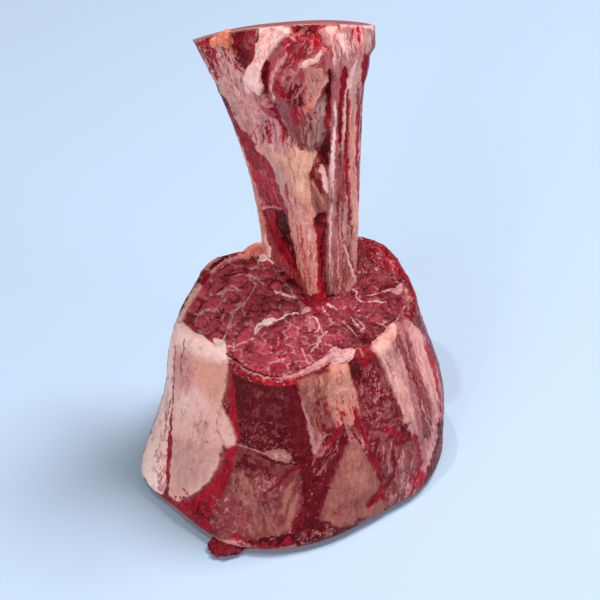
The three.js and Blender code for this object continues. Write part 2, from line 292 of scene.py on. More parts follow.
class Canvas:
    """The colour, roughness and relief of one surface, laid on in layers.

    Over the tissue lies a film, such as silverskin, which the material breaks up along the grain."""

    def __init__(self, points, normals, grain, flat, fibrous=0.3, wander=WANDER):
        """grain is where each point lies in the fibres, and flat where it lies for hidden layers.

        fibrous is how far the tones follow the fibres, and wander how far outlines stray."""
        count = len(points)
        self.points, self.normals, self.grain, self.flat = points, normals, grain, flat
        strayed = [fractal(points, size=6, seed=s, gain=0.6) for s in (61, 67)]
        self.pixels = to_photo(points) + wander * np.stack(strayed, 1)
        to_eye = photo_eye - points
        to_eye /= np.linalg.norm(to_eye, axis=1)[:, None]
        self.seen = smoothstep(0.0, SEEN_FULLY, np.einsum("ij,ij->i", normals, to_eye))
        self.colour, self.film = np.zeros((count, 3)), np.zeros((count, 3))
        self.cover, self.rough, self.lift = np.zeros(count), np.full(count, 0.4), np.zeros(count)
        self.streak = fractal(grain, size=2.6, seed=3)
        self.broad = fractal(points, size=9, seed=5)
        self.fine = fractal(grain, size=1.1, seed=13, octaves=2)
        crumbs = fractal(points, size=2.4, seed=17, octaves=3, gain=0.7)
        self.ragged = 0.7 * fractal(points, size=4, seed=11) + 0.4 * self.streak + 0.4 * crumbs
        along = fibrous * (self.streak + 0.4 * self.fine)
        self.tone = 0.5 + (0.7 - fibrous) * crumbs + along + 0.4 * self.broad
        self.made = {}

    def texture(self, name):
        if name not in self.made:
            self.made[name] = TEXTURES[name](self)
        return self.made[name]

    def lay(self, tissue, amount, lift=0.0, tone=0.0, veil=False, rows=slice(None), tones=None, calm=0.0):
        """Covers rows with a tissue, by an amount from 0 to 1, and lifts them by so many mm.

        tone makes it lighter, calm evens out its tones, and a veil goes on as the film."""
        dark, light, rough = TISSUES[tissue]
        amount = np.broadcast_to(amount, self.cover[rows].shape)
        tones = mix(self.tone[rows] if tones is None else tones, 0.5, calm)
        share = np.clip(tones + tone, -TONE_PAST, 1 + TONE_PAST)[:, None]
        fresh = mix(np.array(dark), np.array(light), share)
        if veil:
            # the film that was there sinks into the colour below
            fresh_film = (amount > FILM_LEAST) | (self.cover[rows] < FILM_LEAST)
            under = mix(self.colour[rows], self.film[rows], self.cover[rows][:, None])
            self.colour[rows] = np.where(fresh_film[:, None], under, self.colour[rows])
            self.film[rows] = np.where(fresh_film[:, None], fresh, self.film[rows])
            self.cover[rows] = np.where(fresh_film, amount, self.cover[rows])
        else:
            self.colour[rows] = mix(self.colour[rows], fresh, amount[:, None])
            self.film[rows] = mix(self.film[rows], fresh, amount[:, None])
        self.rough[rows] = mix(self.rough[rows], rough, amount)
        self.lift[rows] += lift * amount

    def _near(self, line, margin, hidden):
        """The rows whose place is near a line, and their place."""
        flat = self.flat if hidden else self.pixels
        close = ((flat > line.min(0) - margin) & (flat < line.max(0) + margin)).all(1)
        rows = np.nonzero(close if hidden else close & (self.seen > 0))[0]
        return rows, flat[rows]

    def _lay_shape(self, tissue, amount, rows, hidden, strength=1.0, broken=0.0, texture=None, share=0.3,
                   soft=0.08, run=None, **how):
        """Lays tissue on rows, where its fibres or a texture leave a share of it, and broken by streaks.

        A run is the fibres' lean in degrees, their width and their length."""
        if run:
            strands = strands_at((self.flat if hidden else self.pixels)[rows], *run)
            # the tones follow the strands, with some of the surface's own
            how["tones"] = 0.5 + 0.9 * strands + 0.5 * (self.tone[rows] - 0.5)
            amount = amount * upper(even(strands, FRACTAL_SPREAD), share, soft)
        if broken:
            amount = amount * (1 - broken * smoothstep(*STREAK_BREAKS, self.texture("streak")[rows]))
        if texture:
            amount = amount * upper(self.texture(texture)[rows], share, soft)
        if not hidden:
            amount = amount * self.seen[rows]
        self.lay(tissue, amount * strength, rows=rows, **{"veil": True, **how})

    def patch(self, tissue, outline, edge=1.2, ragged=1.6, hidden=False, **how):
        """Tissue inside an outline, with a soft and ragged edge."""
        line = curve(outline, closed=True)
        rows, flat = self._near(line, edge + 2 * ragged + 1, hidden)
        if len(rows):
            depth = depth_in(flat, line) + ragged * self.ragged[rows]
            self._lay_shape(tissue, smoothstep(-edge, edge, depth), rows, hidden, **how)

    def stroke(self, tissue, line, width, end=None, edge=0.7, ragged=0.5, hidden=False, **how):
        """Tissue along a line, in a strip that may narrow or widen to its end."""
        line = curve(line, closed=False)
        end = width if end is None else end
        rows, flat = self._near(line, max(width, end) + edge + 2 * ragged + 1, hidden)
        if len(rows):
            gap, along = to_line(flat, line)
            taper = smoothstep(0, TAPER, along) * smoothstep(1, 1 - TAPER, along)
            half = mix(width, end, along) / 2 * mix(TIP, 1, taper)
            amount = smoothstep(edge, -edge, gap - half + ragged * self.ragged[rows])
            self._lay_shape(tissue, amount, rows, hidden, **how)

    def all_over(self, tissue, texture, share, strength=1.0, soft=0.08, where=1.0, **how):
        """Tissue wherever a texture is in its upper share."""
        self.lay(tissue, upper(self.texture(texture), share, soft) * strength * where, **how)

    def draw(self, layers, **also):
        """Lays layers in turn. What a layer says goes before what is said of them all."""
        for layer in layers:
            own = {k: v for k, v in layer.items() if k not in ("name", "kind", "tissue", "points")}
            getattr(self, layer["kind"])(layer["tissue"], layer["points"], **{**also, **own})

    def moved(self):
        """The surface's points, raised or sunk by what was laid on them."""
        return self.points + self.normals * self.lift[:, None]


# ---- Meshes ----


def build(name, node, vertices, faces, canvas, material):
    """Makes a mesh piece that stands for a node. Its first vertices are the canvas's."""
    mesh = bpy.data.meshes.new(name)
    mesh.from_pydata((np.asarray(vertices) * MM).tolist(), [], faces)
    mesh.validate()
    mesh.update()
    mesh.shade_smooth()
    painted = len(canvas.points)

    def store(attribute, values, kind, key):
        # what lies beyond the canvas, such as a slab's back, takes its mean
        rows = np.tile(values.mean(0), (len(vertices), 1)).astype(np.float32)
        rows[:painted] = values
        mesh.attributes.new(attribute, kind, "POINT").data.foreach_set(key, rows.ravel())

    # the roughness rides in the colour's alpha, and the film's cover in the film's
    colour = np.column_stack([np.clip(canvas.colour, 0, 1), canvas.rough])
    film = np.column_stack([np.clip(canvas.film, 0, 1), canvas.cover])
    store("tissue", colour, "FLOAT_COLOR", "color")
    store("film", film, "FLOAT_COLOR", "color")
    store("grain", canvas.grain * MM, "FLOAT_VECTOR", "vector")
    piece = bpy.data.objects.new(name, mesh)
    bpy.context.scene.collection.objects.link(piece)
    mesh.materials.append(material)
    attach(piece, "root")
    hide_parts(node)


def ring_faces(rings, columns):
    """Quads between rings of points that close on themselves, facing out where rings go up."""
    c = np.arange(columns)
    r = np.arange(rings - 1)[:, None] * columns
    right = (c + 1) % columns
    quads = np.stack([r + c, r + right, r + columns + right, r + columns + c], -1)
    return quads.reshape(-1, 4)


def end_faces(count, columns):
    """Triangles that close a wall of so many points.

    Its foot closes on the first point after them, and its top on the second."""
    last = count - columns
    foot = [(count, (c + 1) % columns, c) for c in range(columns)]
    top = [(count + 1, last + c, last + (c + 1) % columns) for c in range(columns)]
    return foot, top


def normals_of(vertices, quads):
    """Outward normals at the vertices of quads."""
    a, b, c, d = (vertices[quads[:, i]] for i in range(4))
    across = np.cross(c - a, d - b)
    normals = np.zeros_like(vertices)
    for corner in range(4):
        np.add.at(normals, quads[:, corner], across)
    return normals / np.maximum(np.linalg.norm(normals, axis=1), TINY)[:, None]


def blur(grid, rings, columns):
    """Smooths a grid of points, which closes on itself along its columns, by so many steps each way."""

    def weights(sigma):
        reach = int(3 * sigma) + 1
        w = np.exp(-0.5 * (np.arange(-reach, reach + 1) / sigma) ** 2)
        return reach, w / w.sum()

    reach, w = weights(columns)
    grid = sum(k * np.roll(grid, i - reach, axis=1) for i, k in enumerate(w))
    reach, w = weights(rings)
    # beyond its ends the grid goes on in a straight line
    before = 2 * grid[:1] - grid[reach:0:-1]
    after = 2 * grid[-1:] - grid[-2 : -reach - 2 : -1]
    padded = np.concatenate([before, grid, after])
    return sum(k * padded[i : i + len(grid)] for i, k in enumerate(w))


def tree_of(node):
    """A node's solid in mm, for casting rays at."""
    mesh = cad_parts[node].data
    return BVHTree.FromPolygons([v.co / MM for v in mesh.vertices], [p.vertices[:] for p in mesh.polygons])


SKY, FALL = 500, 420  # rays down start at this height and go this far
ROOF_RAYS = 12  # on each side of the middle
ROOF_ROUNDS = 4
ROOF_SLACK = 0.3  # what lies no further than this off the slope is always part of it


class Roof:
    """The height of a solid's cut top over any place: a slope, and a crown across it."""

    def __init__(self, tree, middle, reach, crowned):
        self.crowned = crowned
        hits = []
        for step in np.ndindex(2 * ROOF_RAYS + 1, 2 * ROOF_RAYS + 1):
            x, y = (m + reach * (k - ROOF_RAYS) / ROOF_RAYS for m, k in zip(middle, step))
            hit = tree.ray_cast(Vector((x, y, SKY)), Vector((0, 0, -1)), FALL)[0]
            if hit is not None:
                hits.append(hit)
        hits = np.array(hits)
        for _ in range(ROOF_ROUNDS):  # what stands off the slope, such as a scrap, is left out bit by bit
            terms = self._terms(*hits[:, :2].T)
            self.shape = np.linalg.lstsq(terms, hits[:, 2], rcond=None)[0]
            off = np.abs(terms @ self.shape - hits[:, 2])
            hits = hits[off <= max(ROOF_SLACK, 1.5 * np.median(off))]

    def _terms(self, x, y):
        x, y = np.asarray(x, float), np.asarray(y, float)
        terms = [np.ones_like(x), x, y] + ([x * x] if self.crowned else [])
        return np.stack(terms, -1)

    def __call__(self, x, y):
        return self._terms(x, y) @ self.shape


OUTSIDE = 150  # rays at a wall start this far from its axis
FIRST_RADIUS = 60.0
WALL_ROUNDS = 3  # a sloping ring's height and radius settle in so many rounds


def wall_of(tree, roof, axis, rises, count):
    """A solid's side, found by rays from outside, in rings at shares of the way up to its roof."""
    angles = np.arange(count) * 2 * math.pi / count
    grid = np.zeros((len(rises), count, 3))
    radius = np.full(count, FIRST_RADIUS)
    for i, rise in enumerate(rises):
        mx, my = axis(rise)
        for j, a in enumerate(angles):
            ox, oy = math.cos(a), math.sin(a)
            for _ in range(WALL_ROUNDS):
                z = rise * float(roof(mx + radius[j] * ox, my + radius[j] * oy))
                start = Vector((mx + OUTSIDE * ox, my + OUTSIDE * oy, z))
                hit = tree.ray_cast(start, Vector((-ox, -oy, 0)), OUTSIDE)[0]
                if hit is None:
                    break
                radius[j] = math.hypot(hit.x - mx, hit.y - my)
            grid[i, j] = mx + radius[j] * ox, my + radius[j] * oy, z
    return grid


def axis_between(low, high, start=0.0):
    """The middle of a ring at a share of the way up: over low as far as start, then leaning to high."""

    def axis(rise):
        lean = max(0.0, (rise - start) / (1 - start))
        return tuple(mix(a, b, lean) for a, b in zip(low, high))

    return axis


# how far a step of a ring heads along X where the front starts, and where it is full
FRONT_HEADING = (-0.4, 0.5)


def respaced(grid, columns, front):
    """The grid with other columns, closer together on the front by a factor."""
    out = np.zeros((len(grid), columns, 3))
    for i, ring in enumerate(grid):
        closed = np.vstack([ring, ring[:1]])
        step = np.diff(closed, axis=0)
        # the front faces -Y, so its steps run along X
        heading = np.clip(step[:, 0] / np.maximum(np.linalg.norm(step[:, :2], axis=1), TINY), -1, 1)
        weight = 1 + (front - 1) * smoothstep(*FRONT_HEADING, heading)
        along = np.concatenate([[0], np.cumsum(np.linalg.norm(step, axis=1) * weight)])
        wanted = np.arange(columns) / columns * along[-1]
        for k in range(3):
            out[i, :, k] = np.interp(wanted, along, closed[:, k])
    return out


def more_rings(grid, count):
    """The grid in so many rings, evenly from its first to its last."""
    place = np.linspace(0, 1, count) * (len(grid) - 1)
    low = np.clip(np.floor(place).astype(int), 0, len(grid) - 2)
    return mix(grid[low], grid[low + 1], (place - low)[:, None, None])


def wrapped(grid, middle, radius, climb):
    """Where a wall's points lie in its fibres, as if on a pipe, and in degrees round it and mm up it."""
    angle = np.arctan2(grid[..., 1] - middle[1], grid[..., 0] - middle[0])
    grain = np.stack([radius * np.cos(angle), radius * np.sin(angle), climb], -1)
    around = (np.degrees(angle) + 90) % 360 - 90
    return grain.reshape(-1, 3), np.stack([around, grid[..., 2]], -1).reshape(-1, 2)


def face_over(outline, spacing, height, middle, thickness):
    """A cut face as a closed slab: an even grid over an outline, with its edge drawn to it.

    Returns its vertices, the grid's quads, its other faces, and how many vertices the grid has."""
    low, high = outline.min(0) - spacing, outline.max(0) + spacing
    gx, gy = np.meshgrid(np.arange(low[0], high[0], spacing), np.arange(low[1], high[1], spacing))
    flat = np.stack([gx.ravel(), gy.ravel()], 1)
    inside = within(flat, outline)
    index = np.arange(len(flat)).reshape(gx.shape)
    quads = np.stack([index[:-1, :-1], index[:-1, 1:], index[1:, 1:], index[1:, :-1]], -1).reshape(-1, 4)
    quads = quads[inside[quads].any(1)]
    used = np.unique(quads)
    renumber = np.full(len(flat), -1)
    renumber[used] = np.arange(len(used))
    quads, flat, inside = renumber[quads], flat[used], inside[used]
    # the grid's points outside the outline move to the nearest place on it
    way = np.roll(outline, -1, 0) - outline
    for i in np.nonzero(~inside)[0]:
        t = np.clip(((flat[i] - outline) * way).sum(1) / (way**2).sum(1), 0, 1)
        places = outline + t[:, None] * way
        flat[i] = places[np.argmin(np.linalg.norm(places - flat[i], axis=1))]
    # a side that only one quad has lies on the grid's edge, and those sides make up a loop
    sides = np.vstack([quads[:, [i, (i + 1) % 4]] for i in range(4)])
    keys = set(map(tuple, sides.tolist()))
    following = {p: q for p, q in keys if (q, p) not in keys}
    loop = [min(following)]
    while following[loop[-1]] != loop[0]:
        loop.append(following[loop[-1]])
    top = np.column_stack([flat, height(*flat.T)])
    below = top[loop] - [0, 0, thickness]
    n, m = len(top), len(loop)
    skirt = [(loop[(i + 1) % m], loop[i], n + i, n + (i + 1) % m) for i in range(m)]
    back = [(n + m, n + (i + 1) % m, n + i) for i in range(m)]
    return np.vstack([top, below, [[*middle, below[:, 2].mean()]]]), quads, skirt + back, n


def make_face(name, node, material, edge, spacing, height, middle, thickness, paint,
              downward=False, grain=(1, 1, 0.3), wander=WANDER, thinned=6):
    """A cut face inside an edge. paint gets its canvas, and how far each point lies from the edge.

    For that distance, only one in thinned of the edge's points is used."""
    outline = edge[:, :2]
    vertices, quads, others, count = face_over(outline, spacing, height, middle, thickness)
    if downward:
        quads = quads[:, ::-1]
        others = [face[::-1] for face in others]
    points = vertices[:count]
    canvas = Canvas(points, normals_of(points, quads), points * grain, points[:, :2], wander=wander)
    gap, _ = to_line(points[:, :2], outline[::thinned], closed=True)
    paint(canvas, gap)
    vertices[:count] = canvas.moved()
    build(name, node, vertices, quads.tolist() + others, canvas, material)


# ---- Materials ----

MOST = (0.25, 0.75)  # most of a noise texture's values lie between these
GLINT = (0.6, 0.26, 0.28, 1)  # the colour of pale hairs, and of specks that are partly painted glints
LIGHT_REACH = (1.0, 0.25, 0.15)  # how far red, green and blue light go in, as shares of the soft depth
SHEEN = 0.08  # a low specular level keeps the dark reds deep


def flesh(name, grain, fibrous, relief, hairs, specks, soft, even_pale):
    """Wet tissue. The mesh's own colour and film are broken up by fibres, hairs, specks (partly painted
    glints) and fine relief.

    grain is the fibres' size in mm, fibrous how far the film tears along them, relief the height of
    the fine relief in mm, hairs and specks how far those show, soft the light's way in, in mm, and
    even_pale how far pale tissue is smoother than red."""
    material = bpy.data.materials.new(name)
    material.use_nodes = True
    nodes, links = material.node_tree.nodes, material.node_tree.links
    nodes.clear()

    def node(kind, inputs=(), **settings):
        made = nodes.new(kind)
        for key, value in settings.items():
            setattr(made, key, value)
        for key, value in dict(inputs).items():
            if isinstance(value, bpy.types.NodeSocket):
                links.new(value, made.inputs[key])
            else:
                made.inputs[key].default_value = value
        return made

    def maths(operation, *values):
        return node("ShaderNodeMath", dict(enumerate(values)), operation=operation).outputs[0]

    def spread(value, low, high, to_low=0.0, to_high=1.0):
        return node("ShaderNodeMapRange", {"Value": value, "From Min": low, "From Max": high,
                                           "To Min": to_low, "To Max": to_high}).outputs[0]

    def texture(vector, size, detail=3.0, rough=0.6, bend=0.0):
        return node("ShaderNodeTexNoise", {"Vector": vector, "Scale": 1 / (size * MM), "Detail": detail,
                                           "Roughness": rough, "Distortion": bend}).outputs["Fac"]

    def swing(value, by):
        return spread(value, *MOST, 1 - by, 1 + by)

    def blend(share, below, above):
        return node("ShaderNodeMix", {0: share, 6: below, 7: above}, data_type="RGBA").outputs[2]

    def sum_of(*parts):
        total = maths("MULTIPLY", *parts[0])
        for value, weight in parts[1:]:
            total = maths("MULTIPLY_ADD", value, weight, total)
        return total

    place = node("ShaderNodeTexCoord").outputs["Object"]
    along = node("ShaderNodeAttribute", attribute_name="grain").outputs["Vector"]
    tissue = node("ShaderNodeAttribute", attribute_name="tissue").outputs
    film = node("ShaderNodeAttribute", attribute_name="film").outputs

    fibres = texture(along, grain, detail=4.0)
    crumbs = texture(place, size=2.2, detail=5.0, rough=0.65)
    clouds = texture(place, size=7.0, detail=5.0)
    dots = texture(place, size=0.9, detail=2.0)
    ridges = texture(place, size=4.5, detail=2.0, rough=0.5, bend=1.2)

    # the film shows where its cover is above the tears in it
    tears = spread(sum_of((fibres, fibrous), (crumbs, 1 - fibrous)), 0.34, 0.66)
    over = spread(maths("SUBTRACT", maths("MULTIPLY_ADD", film["Alpha"], 1.5, -0.25), tears), -0.22, 0.22)
    blended = blend(over, tissue["Color"], film["Color"])
    # crumbs, fibres and dots make it lighter and darker, and pale tissue less so
    shade = maths("MULTIPLY", swing(crumbs, 0.2), swing(fibres, 0.16))
    shade = maths("MULTIPLY", shade, swing(dots, 0.2))
    green = node("ShaderNodeSeparateColor", {"Color": blended}).outputs["Green"]
    uneven = spread(green, 0.08, 0.4, 1.0, 1 - even_pale)
    shade = maths("MULTIPLY_ADD", maths("SUBTRACT", shade, 1.0), uneven, 1.0)
    toned = node("ShaderNodeVectorMath", {0: blended, "Scale": shade}, operation="SCALE").outputs[0]
    # thin winding hairs where the clouds part, and specks that are partly painted glints
    ridge_lines = spread(maths("ABSOLUTE", maths("SUBTRACT", ridges, 0.5)), 0.0, 0.012, 1, 0)
    hair = maths("MULTIPLY", ridge_lines, spread(clouds, 0.48, 0.58, 0, hairs))
    light = maths("MULTIPLY", maths("MAXIMUM", hair, spread(dots, 0.64, 0.7, 0, specks)), uneven)

    wet = sum_of((clouds, 0.5), (crumbs, 0.3), (tissue["Alpha"], 1.0))
    height = sum_of((crumbs, 0.6), (fibres, 0.5 * fibrous), (dots, 0.3), (hair, 0.15))
    bumps = node("ShaderNodeBump", {"Height": height, "Strength": 1.0, "Distance": relief * MM})
    shader = node("ShaderNodeBsdfPrincipled", {
        "Base Color": blend(light, toned, GLINT), "Roughness": spread(wet, 0.45, 1.2, 0.08, 0.6),
        "Normal": bumps.outputs[0], "IOR": 1.4, "Specular IOR Level": SHEEN,
        "Subsurface Weight": 0.1, "Subsurface Scale": soft * MM, "Subsurface Radius": LIGHT_REACH,
    })
    links.new(shader.outputs[0], node("ShaderNodeOutputMaterial").inputs["Surface"])
    return material


SIDE = flesh("moist_side", grain=1.4, fibrous=0.3, relief=0.5, hairs=0.25, specks=0.12, soft=3, even_pale=0.6)
CUT = flesh("cut_muscle", grain=1.0, fibrous=0.1, relief=1.0, hairs=0.2, specks=0.42, soft=2, even_pale=0.0)
BONE = flesh("scraped_bone", grain=1.1, fibrous=0.6, relief=0.5, hairs=0.12, specks=0.15, soft=2.5,
             even_pale=0.2)
SCRAP = flesh("scraps", grain=1.2, fibrous=0.3, relief=0.5, hairs=0.1, specks=0.15, soft=3, even_pale=0.5)

# ---- The meat ----

# lengths in mm
RIM_MIDDLE = (3.5, 7.6)  # the middles of the rim and the foot, seen from above
FOOT_MIDDLE = (1.5, 4.6)
RIM_ROUNDING = 5  # radius of the edge round the upper cut
RIM_LIP = 6  # how far the side's skin reaches in over the upper cut
SIDE_STEP = 0.8  # between rings
WALL_RINGS, WALL_RAYS = 76, 360  # the rings and columns of rays that find the side
FOOT_RISE = 0.004  # the first ring is this share of the way up, where rays still find the side
ROUNDING_RINGS, LIP_RINGS = 12, 10
LIP_SINK = 0.25  # how far the lip's inner edge lies below the upper cut
MEAT_COLUMNS = 600
GRAIN_RADIUS = 80  # the side's fibres are worked out as if on a pipe of this radius
GRAIN_STRETCH = 6  # how much longer than wide they are
CUT_STEP = 0.43  # between points of the upper cut
CUT_REACH = 50  # it is measured this far from its middle
CUT_DEPTH = 8  # it is painted on the side's skin down to this far below the rim
MEAT_TINT = (0.95, 0.78, 0.76)  # tissues on the sides are duller than on the cut
CUT_WANDER = 1.0
BUNDLE_PIPE = 36  # the cut's bundles are worked out as if at this distance from the bone
FOOT_UNDERCUT = 7  # how far the left of the foot is drawn in under the meat
FOOT_UNDERCUT_HEIGHT = 8  # and up to which height
UNDERCUT_DEGREES = (160, 190, 240, 262)  # round the shank, where it starts, is full, and ends
FOOT_STILL = 3  # below this height the relief fades out, as the foot rests on its edge
SOLE_STEP = 1.0

LEFT_SIDE = [
    # the outer strip is pale fat, made lighter as painted light where this side turns away from the lamps
    area("outer strip", "cream", [(174, 318), (168, 345), (163, 380), (156, 412), (147, 440), (138, 462),
        (141, 478), (150, 488), (162, 494), (168, 470), (169, 448), (171, 420), (173, 395), (176, 360),
        (180, 330)], veil=False, calm=0.4, tone=0.7),
    area("strip's pink fibres", "lilac", [(176, 330), (172, 345), (168, 380), (158, 420), (150, 446),
        (166, 446), (172, 400), (178, 350)], run=(-8, 2.4, 30), share=0.35, soft=0.2, tone=0.1,
        strength=0.7),
    area("strip's grey", "mauve", [(168, 372), (172, 392), (170, 420), (166, 446), (156, 440), (158, 412),
        (163, 388)], run=(-9, 3, 26), share=0.22, soft=0.2, tone=0.8, strength=0.6),
    area("pale corner", "white", [(150, 438), (158, 448), (162, 466), (164, 486), (158, 492), (148, 485),
        (143, 474), (145, 456)], edge=3, strength=0.95, lift=0.4, veil=False, calm=0.4, tone=0.9),
    area("corner's pink", "lilac", [(156, 452), (164, 456), (166, 486), (158, 488)], run=(-14, 2, 12),
        share=0.5, soft=0.15),
    band("strip's red line", "blood", [(166, 352), (163, 380), (157, 408), (149, 434), (142, 456)], 2.2,
        strength=0.8, tone=0.2),
    band("second red line", "sheath", [(177, 342), (174, 365), (172, 392), (167, 415), (163, 444)], 2.4,
        strength=0.6, tone=0.2, ragged=1.2, edge=1.2),
    band("corner's dark edge", "maroon", [(143, 448), (139, 462), (139, 472), (146, 482)], 3, strength=0.9),
    area("fat panel", "fat", [(176, 323), (188, 325), (199, 332), (213, 343), (224, 356), (228, 364),
        (226, 378), (225, 393), (222, 404), (229, 417), (235, 434), (236, 443), (230, 447), (223, 444),
        (221, 455), (217, 467), (211, 479), (203, 487), (192, 494), (181, 500), (171, 497), (169, 489),
        (171, 473), (172, 455), (172, 438), (173, 420), (174, 398), (175, 380), (175, 362), (175, 340)],
        edge=0.9, ragged=0.9, lift=0.9, veil=False, calm=0.65, tone=0.65),
    area("panel's pink top", "lilac", [(177, 344), (188, 342), (194, 352), (196, 380), (190, 396),
        (178, 390)], edge=7, calm=0.5, tone=-0.05, veil=False, strength=0.75),
    area("pink top's fibres", "sheath", [(177, 344), (190, 342), (198, 380), (178, 390)], edge=4,
        run=(-3, 2, 26), soft=0.3, tone=0.6, strength=0.45),
    area("panel's peach", "peach", [(199, 350), (215, 356), (225, 366), (224, 392), (217, 404), (205, 398),
        (198, 384), (195, 364)], edge=7, strength=0.75, tone=0.4, veil=False, calm=0.5),
    area("panel's cream top", "cream", [(176, 318), (190, 321), (204, 333), (224, 350), (220, 360),
        (202, 356), (188, 350), (177, 348)], edge=7, tone=0.9, veil=False, calm=0.3),
    area("panel's white middle", "cream", [(178, 396), (192, 388), (206, 394), (208, 408), (194, 418),
        (180, 428), (175, 412)], edge=8, tone=0.25, veil=False, calm=0.5, strength=0.75),
    area("panel's lit foot", "cream", [(176, 462), (190, 460), (204, 464), (198, 478), (184, 482),
        (176, 478)], edge=8, tone=-0.3, veil=False, calm=0.4, strength=0.4),
    area("panel's grey foot", "pearl", [(174, 440), (200, 444), (220, 448), (212, 474), (192, 490),
        (174, 492)], edge=9, tone=0.35, strength=0.55, veil=False, calm=0.5),
    area("panel's grey streaks", "pearl", [(180, 400), (196, 396), (214, 420), (216, 452), (186, 470)],
        edge=4, run=(-4, 4, 22), soft=0.35, tone=0.7, strength=0.5),
    area("panel's pink foot", "sheath", [(180, 424), (196, 418), (208, 430), (202, 446), (184, 446)],
        edge=6, texture="mottle", share=0.35, soft=0.35, tone=0.7, strength=0.35),
    area("panel's pink flecks", "sheath", [(200, 420), (214, 418), (221, 430), (210, 448), (198, 438)],
        edge=4, texture="mottle", share=0.35, soft=0.35, strength=0.4, tone=0.7),
    area("panel's dark dots", "mauve", [(184, 410), (212, 408), (218, 450), (204, 484), (182, 484),
        (180, 440)], texture="fleck", share=0.05, soft=0.03, edge=4, tone=-0.2),
    area("blood at the panel's foot", "blood", [(176, 490), (184, 487), (190, 492), (184, 500), (176, 499)],
        texture="mottle", share=0.4, tone=0.4, strength=0.7),
    band("crease under the tongue", "sheath", [(223, 403), (217, 418), (219, 432), (226, 444), (235, 447)],
        2, lift=-0.5, tone=0.3, strength=0.6, edge=1.2),
    area("tongue", "cream", [(223, 410), (228, 415), (232, 428), (236, 441), (231, 444), (223, 436),
        (221, 424)], edge=1.5, ragged=0.8, strength=0.7, lift=0.5, tone=-0.1),
    band("red stripe", "blood", [(173, 384), (173, 400), (171, 422), (169.5, 442), (168.5, 458),
        (168, 480)], 2.4, end=4, tone=0.3, lift=-0.5),
    band("red stripe's top", "sheath", [(177, 345), (176, 366), (174, 384)], 1.6, strength=0.8),
    band("pink lines on the panel", "sheath", [(185, 338), (183, 356), (182, 378)], 2, strength=0.6,
        tone=0.2),
]

LOWER_LEFT = [
    area("red band", "blood", [(156, 491), (166, 497), (180, 502), (192, 498), (204, 490), (212, 481),
        (218, 470), (223, 456), (230, 447), (238, 445), (238, 458), (231, 474), (226, 488), (219, 501),
        (211, 516), (210, 530), (209, 546), (194, 534), (176, 518), (160, 502)], tone=0.2, edge=1.0,
        lift=-0.3, ragged=1.2, veil=False),
    area("red band's dark foot", "muscle", [(186, 504), (202, 502), (214, 498), (208, 524), (194, 528)],
        edge=4, ragged=3, texture="mottle", share=0.45, soft=0.2, tone=-0.1),
    area("red band's dark top", "muscle", [(222, 462), (232, 456), (230, 472), (220, 486)], edge=3,
        texture="mottle", share=0.4, soft=0.2, strength=0.9),
    area("red band's pale hairs", "lilac", [(170, 502), (200, 500), (222, 470), (228, 480), (210, 516),
        (190, 524)], texture="web", share=0.03, soft=0.03, strength=0.5),
    band("pale foot edge", "lilac", [(158, 495), (170, 508), (186, 524), (202, 538)], 1.6, strength=0.7),
]

WINDOW = [
    area("window", "window", [(228, 366), (240, 373), (257, 379), (278, 383), (294, 384), (303, 402),
        (309, 424), (314, 448), (318, 462), (304, 464), (288, 460), (268, 457), (250, 449), (238, 445),
        (235, 430), (230, 408), (227, 386)], edge=1.0, ragged=0.8, lift=-0.5, veil=False, calm=0.3),
    area("window's bloom", "mauve", [(242, 384), (262, 387), (284, 392), (292, 410), (286, 430), (274, 444),
        (256, 444), (244, 432), (240, 408)], edge=7, texture="mottle", share=0.5, soft=0.35, strength=0.55,
        tone=-0.1),
    area("window's red fibres", "blood", [(240, 380), (290, 388), (308, 440), (290, 452), (244, 440)],
        run=(-8, 2.2, 10), share=0.1, soft=0.1, strength=0.5),
    # painted glints: pale flecks over the window's dark muscle
    area("window's specks", "lilac", [(236, 378), (294, 388), (310, 440), (296, 458), (242, 442)],
        texture="fleck", share=0.045, soft=0.03, strength=0.6),
    area("window's hairs", "sheath", [(238, 412), (270, 420), (296, 430), (300, 456), (262, 450),
        (240, 442)], texture="fine web", share=0.14, soft=0.06, strength=0.6, tone=0.2),
    band("window's bright left", "blood", [(229, 368), (231, 386), (232, 404), (235, 426), (239, 442)], 6,
        strength=0.9, tone=0.3),
    area("window's dark right", "muscle", [(289, 386), (299, 396), (306, 416), (313, 446), (316, 460),
        (300, 456), (290, 440), (288, 416)], edge=4, strength=0.9, tone=-0.1),
    band("window's top lip", "blood", [(229, 365), (240, 374), (258, 380.5), (278, 384), (299, 382)], 5.5,
        strength=0.95, tone=0.1, lift=0.6),
    area("lip's pale specks", "lilac", [(228, 362), (258, 377), (296, 380), (294, 386), (258, 384),
        (230, 372)], texture="fleck", share=0.14, soft=0.05, strength=0.8),
    band("right lip of the window", "blood", [(298, 385), (303, 400), (309, 420), (314, 442), (317, 458)],
        4.5, strength=0.9, tone=0.3),
    area("white spindle", "beige", [(264, 452), (272, 450), (283, 451), (291, 457), (288, 461), (279, 461),
        (268, 458)], edge=0.9, ragged=0.5, tone=0.9, lift=0.7),
    area("spindle's crown", "cream", [(268, 453), (280, 452), (287, 456), (278, 458)], edge=2, strength=0.5,
        tone=-0.3),
    band("pale lip under the window", "lilac", [(236, 445), (249, 448), (258, 451), (266, 455)], 2.4,
        lift=0.5, tone=-0.1, strength=0.8),
    band("slit under the spindle", "maroon", [(256, 455), (268, 460), (284, 464), (300, 464)], 2,
        lift=-0.8),
    band("arc in the window", "sheath", [(248, 444), (250, 438), (256, 434)], 1.2, strength=0.8, tone=0.3),
]

